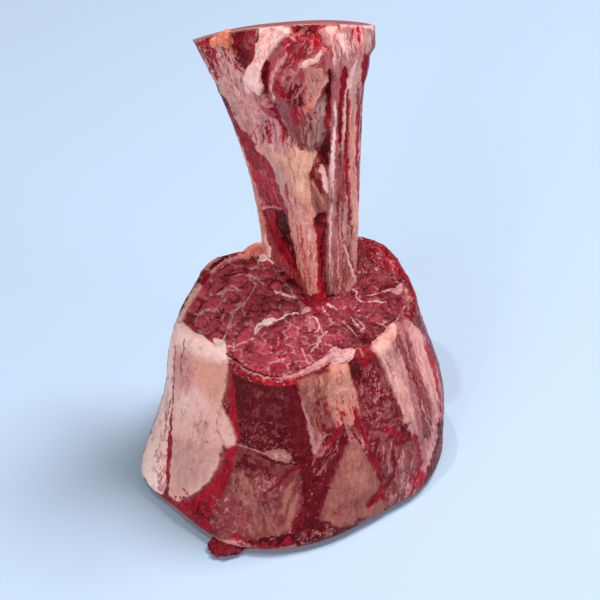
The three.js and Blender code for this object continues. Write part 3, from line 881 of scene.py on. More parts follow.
LOWER_FRONT = [
    area("silverskin", "mauve", [(236, 449), (252, 452), (266, 458), (284, 465), (298, 466), (302, 480),
        (300, 500), (294, 516), (286, 534), (270, 545), (248, 548), (226, 544), (212, 538), (213, 520),
        (218, 504), (226, 488), (232, 470)], edge=1.6),
    area("silverskin's light strands", "lilac", [(232, 474), (246, 470), (262, 484), (274, 506), (276, 534),
        (256, 540), (240, 520), (228, 500)], run=(22, 2.2, 26), share=0.2, soft=0.16, strength=0.6, edge=4,
        tone=-0.25),
    area("purple corner", "window", [(238, 452), (256, 456), (276, 462), (266, 474), (248, 480),
        (237, 470)], edge=4, ragged=3, texture="mottle", share=0.6, soft=0.2, strength=0.8, tone=0.2),
    area("pink belly", "sheath", [(216, 502), (234, 494), (250, 506), (252, 524), (236, 536), (214, 530)],
        edge=4, ragged=3, texture="blot", share=0.5, soft=0.2, tone=-0.1),
    area("belly's white veins", "lilac", [(214, 500), (250, 500), (262, 536), (230, 538), (214, 528)],
        texture="web", share=0.07, soft=0.04, strength=0.7),
    area("left beige streak", "beige", [(246, 506), (256, 502), (266, 514), (276, 532), (270, 542),
        (254, 536)], edge=2, ragged=2, run=(22, 4, 30), share=0.6, soft=0.25, tone=-0.25),
    area("right beige streak", "beige", [(284, 490), (293, 482), (298, 490), (296, 508), (289, 526),
        (279, 538), (275, 526), (281, 506)], edge=1.4, ragged=1.4, run=(-16, 4, 30), share=0.85, soft=0.2,
        tone=0.2, lift=0.4),
    area("grey bloom", "beige", [(234, 474), (244, 470), (252, 486), (254, 502), (240, 500), (230, 490)],
        edge=3, ragged=3, run=(18, 2.5, 18), share=0.6, soft=0.2, tone=0.3),
    area("pale shreds", "lilac", [(252, 476), (270, 472), (282, 486), (276, 498), (262, 492)],
        texture="fine web", share=0.2, tone=-0.1),
    band("diagonal red streak", "muscle", [(300, 466), (287, 474), (278, 484), (268, 492)], 4, end=2,
        tone=0.1),
    area("diagonal's fringe", "muscle", [(296, 468), (284, 484), (272, 500), (262, 494), (276, 476)],
        run=(-50, 2, 14), share=0.35, soft=0.12),
    band("second red streak", "muscle", [(254, 458), (266, 470), (270, 480)], 2.4, strength=0.8),
    band("dark crease", "maroon", [(236, 478), (235, 490), (240, 502), (248, 512)], 1.2, strength=0.8,
        lift=-0.4),
    area("red foot", "blood", [(232, 534), (262, 541), (290, 536), (302, 526), (300, 541), (284, 547),
        (258, 547), (236, 542)], edge=1.6, ragged=2.2),
    area("red foot's dark", "maroon", [(250, 540), (292, 534), (300, 538), (282, 546), (258, 546)], edge=2,
        texture="mottle", share=0.5, soft=0.15),
    band("pale foot line", "lilac", [(206, 536), (228, 542), (246, 548), (266, 552), (296, 546),
        (320, 539)], 3, strength=0.9, tone=-0.1),
    band("upper foot line", "lilac", [(216, 540), (238, 542), (258, 548)], 1.5, strength=0.8),
]

RIGHT_FRONT = [
    area("olive patch", "beige", [(299, 380), (313, 377), (328, 374), (336, 384), (331, 393), (329, 410),
        (332, 424), (323, 434), (318, 456), (312, 432), (306, 411), (299, 394)], edge=1.6, tone=0.1,
        veil=False),
    area("olive patch's light", "peach", [(302, 382), (326, 376), (330, 388), (318, 404), (306, 396)],
        edge=4, run=(10, 5, 20), share=0.5, soft=0.35, strength=0.6, tone=-0.35),
    area("olive patch's red", "muscle", [(318, 398), (330, 402), (333, 420), (324, 436), (314, 444),
        (310, 420)], edge=4, ragged=4, run=(14, 4, 16), share=0.45, soft=0.25, tone=0.3, strength=0.8),
    area("tail of the olive patch", "lilac", [(308, 424), (318, 430), (324, 440), (322, 458), (316, 462),
        (311, 442)], run=(14, 2.5, 18), share=0.7, soft=0.15, tone=-0.2),
    band("pale edge of the window", "lilac", [(302, 398), (308, 420), (313, 440), (317, 458)], 1.6, end=3,
        strength=0.9, lift=0.4),
    area("peach column", "peach", [(329, 360), (343, 356), (350, 368), (353, 384), (360, 398), (362, 414),
        (354, 424), (345, 430), (337, 426), (331, 412), (327, 397), (330, 380)], edge=2, ragged=2,
        tone=-0.05, lift=0.7, veil=False, calm=0.3),
    area("column's cream", "cream", [(332, 372), (346, 370), (350, 390), (344, 410), (334, 402)], edge=5,
        texture="mottle", share=0.4, soft=0.25, strength=0.55, tone=-0.4),
    area("column's red fibres", "blood", [(332, 404), (348, 398), (362, 414), (356, 432), (342, 434),
        (334, 424)], edge=3, run=(24, 2.4, 18), share=0.4, soft=0.2, tone=0.1, strength=0.75),
    area("column's web", "sheath", [(330, 360), (350, 362), (360, 396), (350, 420), (332, 410)],
        texture="fine web", share=0.2, strength=0.6, tone=0.1),
    area("red vertical band", "muscle", [(299, 462), (313, 454), (322, 456), (336, 440), (334, 460),
        (328, 480), (323, 502), (318, 522), (306, 531), (296, 533), (300, 512), (303, 492)], edge=1.6,
        tone=-0.3, veil=False),
    area("red band's specks", "sheath", [(300, 464), (330, 452), (322, 506), (306, 528)], texture="fleck",
        share=0.08, soft=0.04, tone=0.3),
    band("red under the column", "blood", [(343, 424), (338, 434), (328, 445), (318, 454)], 7, end=3,
        tone=0.2),
    area("sheath in the red band", "sheath", [(318, 448), (330, 444), (334, 456), (324, 474), (314, 476),
        (311, 462)], edge=3, run=(-30, 2, 16), share=0.45, soft=0.15),
    area("big beige patch", "beige", [(350, 440), (357, 442), (365, 455), (374, 470), (379, 485),
        (375, 493), (366, 500), (368, 508), (384, 500), (386, 510), (376, 518), (362, 516), (352, 524),
        (338, 528), (326, 526), (322, 514), (325, 500), (331, 484), (338, 468), (345, 452)], edge=1.8,
        ragged=1.8, tone=0.35, lift=0.7, veil=False, calm=0.3),
    area("patch's lit middle", "peach", [(350, 448), (358, 452), (368, 470), (372, 486), (360, 494),
        (348, 486), (344, 468)], edge=6, strength=0.5, tone=-0.3),
    area("patch's stains", "mauve", [(328, 500), (350, 496), (364, 512), (350, 524), (330, 526)], edge=4,
        texture="blot", share=0.5, soft=0.35, strength=0.45, tone=0.3),
    area("patch's fibres", "sheath", [(344, 450), (360, 452), (376, 484), (362, 514), (332, 520)], edge=4,
        run=(-12, 2.4, 30), soft=0.3, tone=0.2, strength=0.4),
    area("patch's pale threads", "lilac", [(344, 456), (360, 452), (374, 480), (366, 496), (346, 490)],
        texture="web", share=0.1, soft=0.05, strength=0.6, tone=-0.2),
    band("left arm of the fork", "muscle", [(348, 424), (345, 438), (338, 456), (331, 472), (326, 488),
        (322, 508)], 7, end=4, lift=-0.5),
    band("right arm of the fork", "blood", [(354, 410), (358, 424), (365, 438), (372, 454), (379, 470),
        (382, 482), (381, 490), (376, 498), (366, 506)], 6, end=4.5, lift=-0.5),
    area("threads in the fork", "lilac", [(346, 424), (356, 428), (366, 448), (356, 446), (346, 438)],
        run=(26, 1.8, 20), share=0.4, soft=0.12, tone=-0.2),
]

RIGHT_SIDE = [
    area("mottled muscle", "muscle", [(351, 352), (373, 345), (379, 362), (385, 382), (393, 398),
        (403, 414), (412, 430), (404, 446), (391, 446), (378, 440), (366, 430), (360, 411), (356, 396),
        (353, 376)], edge=1.6, veil=False),
    area("muscle's grey", "mauve", [(358, 372), (378, 366), (396, 404), (408, 436), (384, 442), (364, 424)],
        edge=3, texture="mottle", share=0.45, soft=0.2, tone=0.15),
    area("muscle's web", "lilac", [(356, 376), (376, 362), (390, 394), (404, 420), (394, 440), (374, 432),
        (360, 408)], edge=3, texture="fine web", share=0.17, soft=0.07, strength=0.7, tone=-0.3),
    area("dark hole", "maroon", [(347, 358), (357, 358), (364, 372), (360, 386), (353, 376)], edge=3,
        ragged=3, lift=-1.0, tone=0.3, strength=0.85),
    area("red top", "blood", [(352, 352), (370, 346), (374, 356), (366, 368), (360, 364)], edge=2,
        texture="mottle", share=0.6, tone=0.1),
    band("hole's lip", "sheath", [(351, 351), (360, 349), (363, 358)], 1.6, tone=0.4, lift=0.4),
    area("side's skin", "lilac", [(372, 344), (384, 332), (398, 322), (412, 322), (424, 336), (436, 362),
        (443, 392), (444, 420), (438, 444), (430, 468), (422, 480), (412, 470), (413, 440), (407, 424),
        (399, 404), (390, 388), (383, 370)], edge=1.4, ragged=1.4, tone=-0.25, run=(16, 5, 60), share=0.97),
    band("pale stripe", "fat", [(379, 338), (387, 358), (395, 376), (402, 396), (408, 416), (411, 432)], 16,
        end=9, ragged=1.6, edge=2.5, run=(20, 4, 50), share=0.85, soft=0.25, tone=-0.2, lift=0.5),
    band("stripe's cream", "cream", [(378, 340), (386, 358), (393, 376), (400, 394)], 8, end=4, ragged=1.4,
        edge=2.5, run=(20, 3, 40), share=0.45, soft=0.25, tone=-0.4, strength=0.7),
    area("pale stripe's head", "cream", [(373, 345), (380, 334), (392, 324), (397, 329), (392, 342),
        (384, 354), (377, 354)], edge=3.5, ragged=2, strength=0.7, tone=-0.3, veil=False, calm=0.3),
    band("grey stripe", "mauve", [(400, 330), (408, 352), (415, 374), (422, 396), (427, 420), (427, 440)],
        15, end=10, ragged=1.6, run=(17, 2.6, 40), share=0.78, soft=0.2, tone=-0.05),
    band("grey stripe's dark fibres", "maroon", [(396, 338), (406, 362), (414, 388), (420, 414)], 10, end=6,
        run=(17, 1.6, 24), share=0.16, strength=0.85, tone=0.4),
    band("outer pale stripe", "lilac", [(412, 326), (420, 352), (427, 376), (434, 398), (437, 420),
        (433, 446), (426, 472)], 12, end=8, ragged=1.6, run=(14, 2.8, 40), share=0.8, soft=0.2, tone=0.4,
        lift=0.4),
    band("red between the stripes", "sheath", [(404, 330), (413, 358), (421, 384), (428, 410)], 3,
        run=(15, 2, 30), share=0.5, ragged=1),
    band("outer red streaks", "blood", [(424, 340), (434, 366), (440, 390), (443, 416)], 7, tone=0.1,
        ragged=1, run=(12, 2, 30), share=0.62, soft=0.12),
    band("side's dark edge", "maroon", [(430, 344), (441, 376), (446, 404), (445, 426)], 4, strength=0.8,
        run=(10, 2, 20), share=0.7),
    area("outer dark lumps", "maroon", [(437, 424), (445, 421), (445, 437), (438, 441)], edge=1.5, lift=0.8,
        tone=0.2),
    band("lumps' red", "blood", [(438, 420), (444, 418)], 3, tone=0.5),
    area("dark spots", "maroon", [(398, 420), (411, 424), (412, 444), (400, 443)], edge=5, ragged=4,
        strength=0.7, tone=0.6, texture="mottle", share=0.6, soft=0.3),
    band("red wisps", "blood", [(384, 428), (392, 432), (400, 434), (406, 440)], 3, ragged=1.6, tone=0.2),
    area("lower grey streaks", "mauve", [(382, 440), (398, 446), (412, 440), (418, 456), (418, 478),
        (410, 494), (396, 506), (384, 508), (386, 486), (388, 466), (380, 450)], edge=2.4, ragged=2.4,
        tone=0.3),
    area("lower light streaks", "lilac", [(384, 444), (408, 446), (414, 470), (404, 500), (388, 504)],
        edge=3, run=(8, 2.2, 24), share=0.26, soft=0.14, tone=-0.3),
    area("lower red streaks", "muscle", [(382, 442), (410, 444), (414, 474), (402, 500), (386, 500)],
        edge=3, run=(-10, 2.6, 20), share=0.22, soft=0.1, tone=0.2),
    band("red streak low", "blood", [(414, 434), (418, 446), (420, 460), (417, 474)], 5, tone=0.1),
    band("second red streak low", "muscle", [(391, 450), (395, 464), (391, 480), (384, 490)], 4,
        strength=0.9),
    area("bright red corner", "blood", [(410, 480), (421, 471), (426, 480), (421, 494), (410, 503),
        (404, 497)], tone=0.3),
    area("corner's shreds", "lilac", [(400, 480), (416, 472), (412, 498), (400, 500)], run=(-20, 1.6, 10),
        share=0.35, soft=0.1),
    band("slit in the beige", "blood", [(366, 507), (375, 501), (384, 492)], 3.4, lift=-0.6),
    area("dark red foot", "blood", [(384, 508), (398, 508), (410, 500), (420, 492), (427, 493), (412, 509),
        (396, 517), (380, 521)], edge=1.4, tone=-0.15),
    area("right red flank", "muscle", [(426, 474), (432, 452), (438, 436), (445, 440), (441, 456),
        (432, 478), (424, 490)], edge=1.6),
    area("speckled foot", "window", [(298, 524), (318, 520), (340, 526), (358, 524), (352, 531), (332, 537),
        (312, 544), (296, 548)], edge=1.6, ragged=2, tone=0.1, veil=False),
    area("foot's mauve", "mauve", [(300, 530), (330, 524), (354, 526), (330, 537), (300, 546)],
        texture="mottle", soft=0.12, tone=0.1),
    area("foot's pale shreds", "lilac", [(298, 536), (318, 530), (340, 528), (322, 540), (300, 546)],
        texture="fine web", share=0.14, soft=0.06, tone=-0.2),
]

# the outline of the upper cut, inside the skin's rim
CUT_OUTLINE = [(184, 318), (186, 325), (193, 332), (201, 335), (208, 340), (214, 344), (222, 345),
    (226, 352), (240, 362), (252, 369), (266, 374), (280, 376), (292, 372), (304, 366), (318, 360),
    (330, 350), (340, 345), (352, 348), (362, 346), (374, 340), (386, 328), (396, 319), (403, 308),
    (406, 298), (404, 288), (400, 272), (390, 256), (383, 246), (372, 237), (356, 232), (300, 230),
    (258, 256), (240, 258), (224, 262), (208, 280), (198, 294), (190, 306)]

CUT_SEAMS = [
    band("broad white seam", "white", [(255, 332), (259, 325), (264, 321), (271, 319.5), (279, 317.5),
        (287, 314), (299, 311.5)], 5.6, end=0.8, edge=1.0, ragged=0.2, lift=0.4, tone=-0.2, broken=0.0,
        calm=0.4),
    area("seam's fat end", "white", [(257, 326), (262, 319), (268, 318), (272, 322), (264, 325),
        (258, 331)], edge=0.8, ragged=0.4, lift=0.3, broken=0.0, tone=-0.1),
    band("seam's grey underside", "beige", [(255, 333), (260, 327), (268, 323.5)], 2, strength=0.8,
        tone=0.5),
    band("thin seam to the rim", "lilac", [(223, 347), (234, 344.5), (246, 341), (254, 336)], 2.2, end=1,
        edge=0.8, tone=0.3),
    area("fat triangle at the rim", "white", [(213, 340), (219, 338), (224, 340), (226, 347), (226, 353),
        (219, 348)], edge=0.8, ragged=0.5, lift=0.2, broken=0.0, tone=-0.2),
    band("seam from the triangle", "lilac", [(223, 340), (226, 331), (229, 322), (233, 313), (238, 305)],
        1.6, edge=0.6),
    band("upper of that seam", "lilac", [(238, 306), (244, 301), (250, 294), (254, 287), (256, 281)], 2,
        end=1.4, edge=0.6),
    band("left arc", "lilac", [(195, 322), (198, 314), (203, 309.5), (210, 308)], 1.4, edge=0.6, tone=0.1),
    band("left arc's leg", "lilac", [(204, 311), (206, 317), (211, 320)], 1.1, edge=0.6, strength=0.8),
    band("back arc", "lilac", [(234, 275), (241, 274), (249, 274), (255, 277), (264, 284)], 2.2, edge=0.6,
        tone=0.1),
    band("short streak", "lilac", [(230, 284), (236, 286), (242, 290)], 1.8, edge=0.6, tone=0.1),
    band("streak over it", "lilac", [(234, 280), (240, 281)], 1.2, edge=0.6),
    band("left streak", "lilac", [(225, 284), (224, 291), (221, 297)], 1.3, edge=0.6),
    band("bright streak", "white", [(273, 289), (280, 292), (287, 295), (295, 295.5)], 3, end=1.8, edge=0.6,
        lift=0.3),
    band("streak above", "lilac", [(285, 281), (290, 288), (294, 295)], 1.3, edge=0.6),
    area("ring on the left", "lilac", [(228, 326), (232, 325), (237, 328), (238, 332), (233, 332)],
        texture="web", share=0.4, edge=1),
    band("streak by the triangle", "lilac", [(248, 322), (251, 323), (253, 326)], 1.6, edge=0.6, tone=0.1),
    band("curl", "sheath", [(254, 345), (258, 343), (262, 345), (261, 350)], 1.3, edge=0.6, tone=0.3),
    band("ring top", "lilac", [(306, 321), (308, 316), (313, 316.5), (317, 320)], 1.8, tone=0.3),
    band("ring side", "lilac", [(317, 319), (319.5, 325), (318, 331)], 2.2, tone=0.3),
    band("ring's tail", "lilac", [(318, 331), (314, 332)], 1.6, edge=0.6),
    area("pink lump", "sheath", [(309, 320), (314, 320), (315, 327), (310, 327)], edge=0.8, tone=0.4,
        lift=0.6),
    area("pink lump at the bone", "sheath", [(299, 298), (305, 298), (306, 306), (300, 307)], edge=0.8,
        tone=0.4, lift=0.6),
    area("white lump under it", "lilac", [(301, 309), (306, 307), (311, 309), (305, 313), (301, 313)],
        edge=1, ragged=1.0, lift=0.4, tone=0.2),
    band("streak right of the bone", "white", [(325, 303), (331, 304.5), (339, 308.5)], 3, end=1.2,
        edge=0.6, lift=0.2),
    band("spur below it", "white", [(323, 306), (325, 311)], 2.6, end=1.4, edge=0.6, lift=0.2),
    band("spur's thread", "lilac", [(325, 311), (329, 317), (332, 324), (324, 325)], 1.1, edge=0.6),
    band("right twig", "lilac", [(343, 320), (350, 327), (357, 336)], 1.6, strength=0.85),
    band("twig's branch", "lilac", [(350, 316), (354, 321), (360, 325)], 1.3, edge=0.6),
    band("star, one way", "lilac", [(327, 331), (320, 338), (315, 346), (312, 349)], 1.7, edge=0.6,
        tone=0.1),
    band("star, another", "lilac", [(317, 336), (324, 342), (330, 346)], 1.2, edge=0.6),
    band("star's arc", "lilac", [(317, 338), (317, 346), (311, 351)], 1.4, edge=0.6),
    band("right seam", "lilac", [(351, 287), (356, 291), (357, 297), (363, 300), (374, 301), (386, 301.5)],
        1.8, tone=0.2),
    band("right seam's thread", "lilac", [(357, 299), (355, 305), (352, 308)], 1.1, edge=0.6),
    band("right seam above", "lilac", [(367, 295), (374, 293), (382, 290), (396, 286)], 1.5, edge=0.6,
        tone=0.1),
    area("rim seam right", "lilac", [(392, 290), (398, 284), (402, 282), (402, 292), (397, 293)], edge=0.8,
        lift=0.2),
    band("front twig", "lilac", [(302, 348), (305, 355), (309, 364)], 1.4, edge=0.6, tone=0.1),
    band("front crease", "blood", [(279, 336), (279.5, 343), (279, 350)], 3, edge=0.6, tone=0.3),
    band("front crease's rim", "lilac", [(278, 337), (278, 345)], 1.2, edge=0.6),
    area("front star", "lilac", [(273, 353), (280, 354), (285, 359), (278, 361)], edge=1, strength=0.85,
        texture="mottle", share=0.6),
    area("red round the star", "blood", [(270, 344), (288, 346), (292, 364), (276, 370), (268, 358)],
        edge=3, texture="blot", share=0.45, soft=0.2, strength=0.6, tone=0.3),
    band("dark slit at the bone", "blood", [(347, 310), (353, 309), (361, 311)], 2.6, lift=-0.9, tone=0.1),
    # painted shadow: a dark groove under the small bundle at the back left
    band("dark slit at the left", "maroon", [(224, 273), (232, 273), (242, 271)], 2, lift=-0.9, tone=-0.2),
    band("dark slit, left muscle", "maroon", [(216, 318), (222, 312), (226, 300), (232, 296)], 1.3,
        lift=-0.8),
    band("second dark slit", "maroon", [(198, 306), (208, 298), (220, 288), (226, 282)], 1.3, lift=-0.8),
    band("slit in the back right", "maroon", [(362, 258), (374, 262), (392, 274)], 2, lift=-0.9),
    area("back right's smooth muscle", "blood", [(362, 238), (382, 242), (398, 262), (402, 276), (386, 268),
        (368, 256)], edge=1.4, tone=-0.1, strength=0.85),
    area("back right's glints", "lilac", [(362, 244), (376, 240), (396, 262), (392, 280), (364, 272)],
        texture="fine web", share=0.1, strength=0.7),
    # painted shade: dark maroon mottle on the cut beside the bone's left
    area("dark by the bone's left", "maroon", [(276, 258), (286, 262), (296, 282), (300, 296), (290, 286),
        (278, 270)], edge=3, strength=0.75, texture="mottle", share=0.75, soft=0.2),
    area("threads by the bone's left", "lilac", [(270, 262), (284, 262), (292, 274), (280, 278)],
        texture="web", share=0.25, soft=0.06, strength=0.8),
    area("red round the bone's foot", "blood", [(296, 286), (304, 294), (318, 302), (330, 298), (330, 306),
        (316, 312), (300, 300)], edge=2, ragged=2, strength=0.85, tone=0.1),
    area("front edge in shade", "muscle", [(226, 352), (240, 360), (262, 370), (286, 374), (300, 366),
        (296, 360), (270, 366), (246, 356)], edge=3, strength=0.5, tone=0.3),
    band("slit along the front rim", "maroon", [(225, 352), (238, 361), (250, 369), (264, 374), (282, 377)],
        2.8, lift=-1.6, tone=-0.2),
]

RIM = [
    area("left rim", "cream", [(180, 316), (188, 321), (194, 330), (207, 338), (217, 344), (228, 356),
        (222, 361), (208, 351), (194, 343), (182, 334), (177, 322)], edge=3, ragged=1, tone=0.8, veil=False,
        calm=0.4),
    band("back-left rim", "lilac", [(184, 319), (190, 304), (199, 291), (210, 279), (222, 268), (236, 259),
        (250, 256)], 9, tone=0.15, ragged=1),
    band("rim's cream", "cream", [(182, 318), (188, 303), (196, 291), (206, 281)], 5, strength=0.85,
        ragged=1),
    band("rim's inner red", "blood", [(188, 316), (194, 304), (203, 293), (214, 282), (224, 272)], 1.6,
        strength=0.7, tone=0.3),
    area("red lump on the rim", "blood", [(201, 283), (206, 276), (211, 274), (209, 280), (204, 285)],
        edge=1, tone=0.2, lift=0.6),
    band("red edge far left", "maroon", [(210, 270), (217, 263), (228, 256)], 3, strength=0.9, tone=0.3),
    band("red top", "blood", [(230, 256), (242, 252), (254, 251)], 3.5, strength=0.85, tone=0.1),
    band("orange by the bone", "orange", [(244, 257), (252, 252), (258, 249)], 6, tone=0.1, strength=0.8),
    area("folded skin", "lilac", [(283, 377), (300, 370), (316, 361), (326, 355), (334, 348), (344, 354),
        (334, 362), (318, 369), (302, 375), (288, 380)], edge=1.0, ragged=0.6, tone=-0.1, lift=0.8),
    band("fold, upper line", "muscle", [(286, 376), (302, 369), (318, 361), (332, 352)], 1.2, lift=-0.6,
        tone=0.2),
    band("fold, lower line", "muscle", [(290, 380), (306, 375), (322, 369), (334, 362)], 1.4, lift=-0.7),
    band("front rim's pale line", "lilac", [(240, 366), (252, 373), (266, 377.5), (284, 378)], 1.6,
        tone=-0.1, strength=0.8, lift=0.4),
    area("white wedge", "lilac", [(333, 344), (339, 349), (351, 351), (350, 357), (343, 359), (335, 356),
        (330, 351)], edge=0.9, ragged=0.6, lift=0.6),
    band("right rim", "lilac", [(372, 343), (384, 329), (397, 315), (403, 302), (403, 288)], 6, tone=0.1,
        ragged=1),
    band("right rim's cream", "cream", [(400, 282), (403, 292), (402, 304), (396, 316)], 3, strength=0.6),
    band("right rim's red", "blood", [(366, 235), (384, 240), (396, 256), (405, 272), (412, 290)], 5,
        ragged=1, tone=-0.1),
    band("rim far right", "blood", [(406, 276), (414, 296), (422, 316), (430, 338)], 4, strength=0.85,
        ragged=1),
]

# the sides that the photograph hides: degrees round the shank, and mm up it
HIDDEN_SIDES = [
    area("back left fat", "fat", [(122, 4), (140, 8), (154, 20), (164, 44), (158, 70), (160, 92),
        (150, 112), (134, 110), (130, 90), (120, 64), (126, 36)], edge=3, ragged=5, veil=False, calm=0.4,
        lift=0.7, tone=-0.2),
    area("back left fat's pink", "lilac", [(126, 20), (158, 30), (158, 80), (140, 100), (126, 60)], edge=6,
        ragged=4, run=(6, 4, 40), share=0.4, soft=0.25, tone=-0.2),
    area("back left skin", "lilac", [(160, 10), (178, 6), (184, 44), (176, 84), (168, 112), (156, 108),
        (164, 60)], edge=4, ragged=5, run=(4, 4, 50), share=0.7, soft=0.2, tone=-0.2),
    area("back muscle", "window", [(82, 26), (98, 14), (110, 30), (116, 62), (108, 90), (96, 102), (86, 80),
        (92, 54)], edge=2.5, ragged=4, lift=-0.4, tone=0.3, veil=False),
    area("back muscle's sheath", "sheath", [(84, 22), (112, 20), (116, 80), (90, 100)], edge=4, ragged=4,
        run=(-8, 3, 36), soft=0.2, tone=-0.1),
    area("back silverskin", "lilac", [(58, 4), (76, 14), (82, 46), (74, 76), (80, 110), (66, 112), (52, 84),
        (56, 52), (46, 24)], edge=4, ragged=5, run=(7, 4, 46), share=0.6, soft=0.2, tone=-0.15),
    area("back right beige", "beige", [(16, 10), (34, 4), (46, 26), (42, 54), (48, 86), (36, 108), (26, 92),
        (30, 62), (18, 40)], edge=3, ragged=5, tone=0.3, lift=0.5, run=(-5, 5, 40), share=0.85, soft=0.2),
    area("beige's peach", "peach", [(24, 20), (40, 30), (40, 70), (30, 80)], edge=6, ragged=4, tone=-0.2,
        run=(-5, 4, 30), share=0.4, soft=0.3),
    band("back seam, left", "muscle", [(112, 4), (118, 36), (114, 70), (124, 112)], 4, ragged=2.5,
        lift=-0.6),
    band("back seam, right", "muscle", [(44, 4), (52, 40), (48, 72), (56, 112)], 4, ragged=2.5, lift=-0.6),
    band("back vein", "lilac", [(98, 2), (94, 30), (100, 52), (92, 76), (98, 108)], 3, end=1.6, ragged=1.6,
        tone=0.1),
    band("back vein's branch", "lilac", [(100, 50), (106, 66), (116, 80)], 2, end=1.2, ragged=1.4),
    band("side vein", "cream", [(64, 12), (70, 40), (64, 66), (72, 92)], 2.6, end=1.2, ragged=1.6,
        strength=0.6),
]


def paint_side(canvas):
    """Muscle with streaks of sheath all over, then what the photograph shows of it."""
    canvas.lay("muscle", 1.0)
    canvas.all_over("mauve", "blot", 0.45, soft=0.25, veil=True)
    canvas.all_over("lilac", "web", 0.12, soft=0.06, strength=0.6, veil=True)
    canvas.draw(HIDDEN_SIDES, hidden=True)
    for layers in (LOWER_LEFT, LOWER_FRONT, WINDOW, LEFT_SIDE, RIGHT_FRONT, RIGHT_SIDE, RIM):
        canvas.draw(layers)
    weather(canvas)
    canvas.colour *= MEAT_TINT
    canvas.film *= MEAT_TINT


PALE_GREEN = (0.1, 0.35)  # with more green than these a tissue starts to be pale, and is


def weather(canvas):
    """What crosses every tissue: blood in the thin places of pale tissue, dark pools, and dimples."""
    pale = smoothstep(*PALE_GREEN, canvas.colour[:, 1])
    canvas.all_over("sheath", "mottle", 0.12, strength=0.35, soft=0.1, where=pale)
    canvas.all_over("maroon", "blot", 0.22, strength=0.3, soft=0.2, where=1 - pale)
    canvas.lift += 0.45 * canvas.broad + 0.12 * canvas.streak + 0.1 * canvas.fine


# parts of the upper cut: middle and size in the photograph's pixels, and how much flatter than round
MARBLED = (300, 332), 36, 1.7
SMOOTH = (362, 322), 26, 2
LEFT_PART = -34  # the left muscle starts this far right of the bone, in mm
BACK_PART = -10  # the muscles behind start this far behind the bone
BUNDLE_LEAN = math.radians(20)
CUT_PAINTED_LIGHT = (-60, -15, 45), (0.55, -0.05, -0.4)  # mm right of the bone, and the cut's tones there: lighter on the left as painted light where the bone's shadow falls, darker to the right


def paint_cut(canvas):
    """Ends of muscle bundles, which run out from the bone in front and round it behind."""

    def part_of(middle, size, flatter):
        x, y = (canvas.pixels - middle).T
        return np.exp(-(x**2 + flatter * y**2) / (2 * size**2))

    depth = depth_in(canvas.pixels, curve(CUT_OUTLINE, closed=True))
    amount = smoothstep(-0.6, 0.6, depth + 0.6 * canvas.ragged)
    flat = canvas.points[:, :2] - SHIN_MIDDLE
    warp = np.stack([fractal(canvas.points, size=14, seed=21), fractal(canvas.points, size=14, seed=31)], 1)
    radius, turn = np.linalg.norm(flat, axis=1), np.arctan2(flat[:, 0], -flat[:, 1]) * BUNDLE_PIPE
    cosine, sine = math.cos(BUNDLE_LEAN), math.sin(BUNDLE_LEAN)
    leant = flat @ [[cosine, sine], [-sine, cosine]]
    fields = [  # the front, the left, and behind on the right
        cells(flat + 2.4 * warp, size=7.2, seed=1),
        cells(leant / [1, 1.9] + 2.2 * warp, size=8.2, seed=4),
        cells(np.stack([radius, turn / 2.6], 1) + 1.6 * warp, size=5.2, seed=4),
    ]
    # the parts have uneven borders
    left = flat[:, 0] < LEFT_PART + 8 * canvas.broad
    behind = (flat[:, 1] > BACK_PART + 6 * canvas.broad) & (flat[:, 0] > 0)
    part = np.where(behind, 2, left)
    bundle, _, number = (np.choose(part, choices) for choices in zip(*fields))
    tone = 0.6 * (number - 0.5)
    marbled, smooth = part_of(*MARBLED), part_of(*SMOOTH)
    pale_share = 0.2 + 0.3 * marbled + 0.3 * left
    pale = smoothstep(0.1, -0.1, even(fractal(canvas.points, size=7, seed=41), FRACTAL_SPREAD) - pale_share)
    parted = smoothstep(-0.2, 0.5, fractal(canvas.points, size=9, seed=45)) * (1 - 0.7 * smooth)
    parted = np.maximum(parted, 0.8 * left * smoothstep(-0.6, 0.1, canvas.broad))
    # the cut's tone carries painted light on the left, where the bone's shadow falls
    canvas.lay("cut", amount, tone=tone + np.interp(flat[:, 0], *CUT_PAINTED_LIGHT))
    canvas.lay("muscle", amount * behind * 0.75, tone=0.35 + tone)
    # between bundles: a pale sheath, dark creases that are painted shade, and fat
    canvas.lay("sheath", amount * smoothstep(2.0, 0.9, bundle) * 0.2, tone=0.2)
    wide = amount * smoothstep(1.1, 0.1, bundle) * (1 - pale)
    canvas.lay("maroon", wide * mix(0.45, 0.8, parted), tone=0.8)
    narrow = amount * smoothstep(0.5, 0.1, bundle) * (1 - pale)
    canvas.lay("maroon", narrow * mix(0.0, 0.45, parted), tone=0.3)
    canvas.lay("lilac", amount * smoothstep(0.55, 0.1, bundle) * pale * mix(0.85, 0.6, marbled), tone=0.1)
    # white arcs part of the way round small bundles
    _, ring, small = cells(flat + 1.5 * warp, size=6.4, seed=12, jitter=0.8)
    arc = smoothstep(0.45, 0.15, np.abs(ring - mix(1.8, 3.0, small)))
    torn = smoothstep(0.1, 0.35, fractal(canvas.points, size=5, seed=47))
    torn = torn * smoothstep(0.15, 0.6, marbled + 0.25 * left)
    canvas.lay("sheath", amount * arc * torn * 0.7, tone=0.9)
    canvas.all_over("maroon", "fleck", 0.14, where=amount, strength=0.45, soft=0.06)
    # pale specks: bits of fat, and painted glints
    canvas.all_over("lilac", "mottle", 0.035, where=amount, strength=0.7, soft=0.02)
    dome = smoothstep(0, 3.4, bundle) ** 0.6
    crumbs = fractal(canvas.points, size=2.6, seed=49, octaves=3)
    canvas.lift += amount * (mix(0.8, 2.2, parted) * (dome - 1) + 0.25 * crumbs + 0.7 * canvas.broad)
    canvas.draw(CUT_SEAMS, broken=0.45)


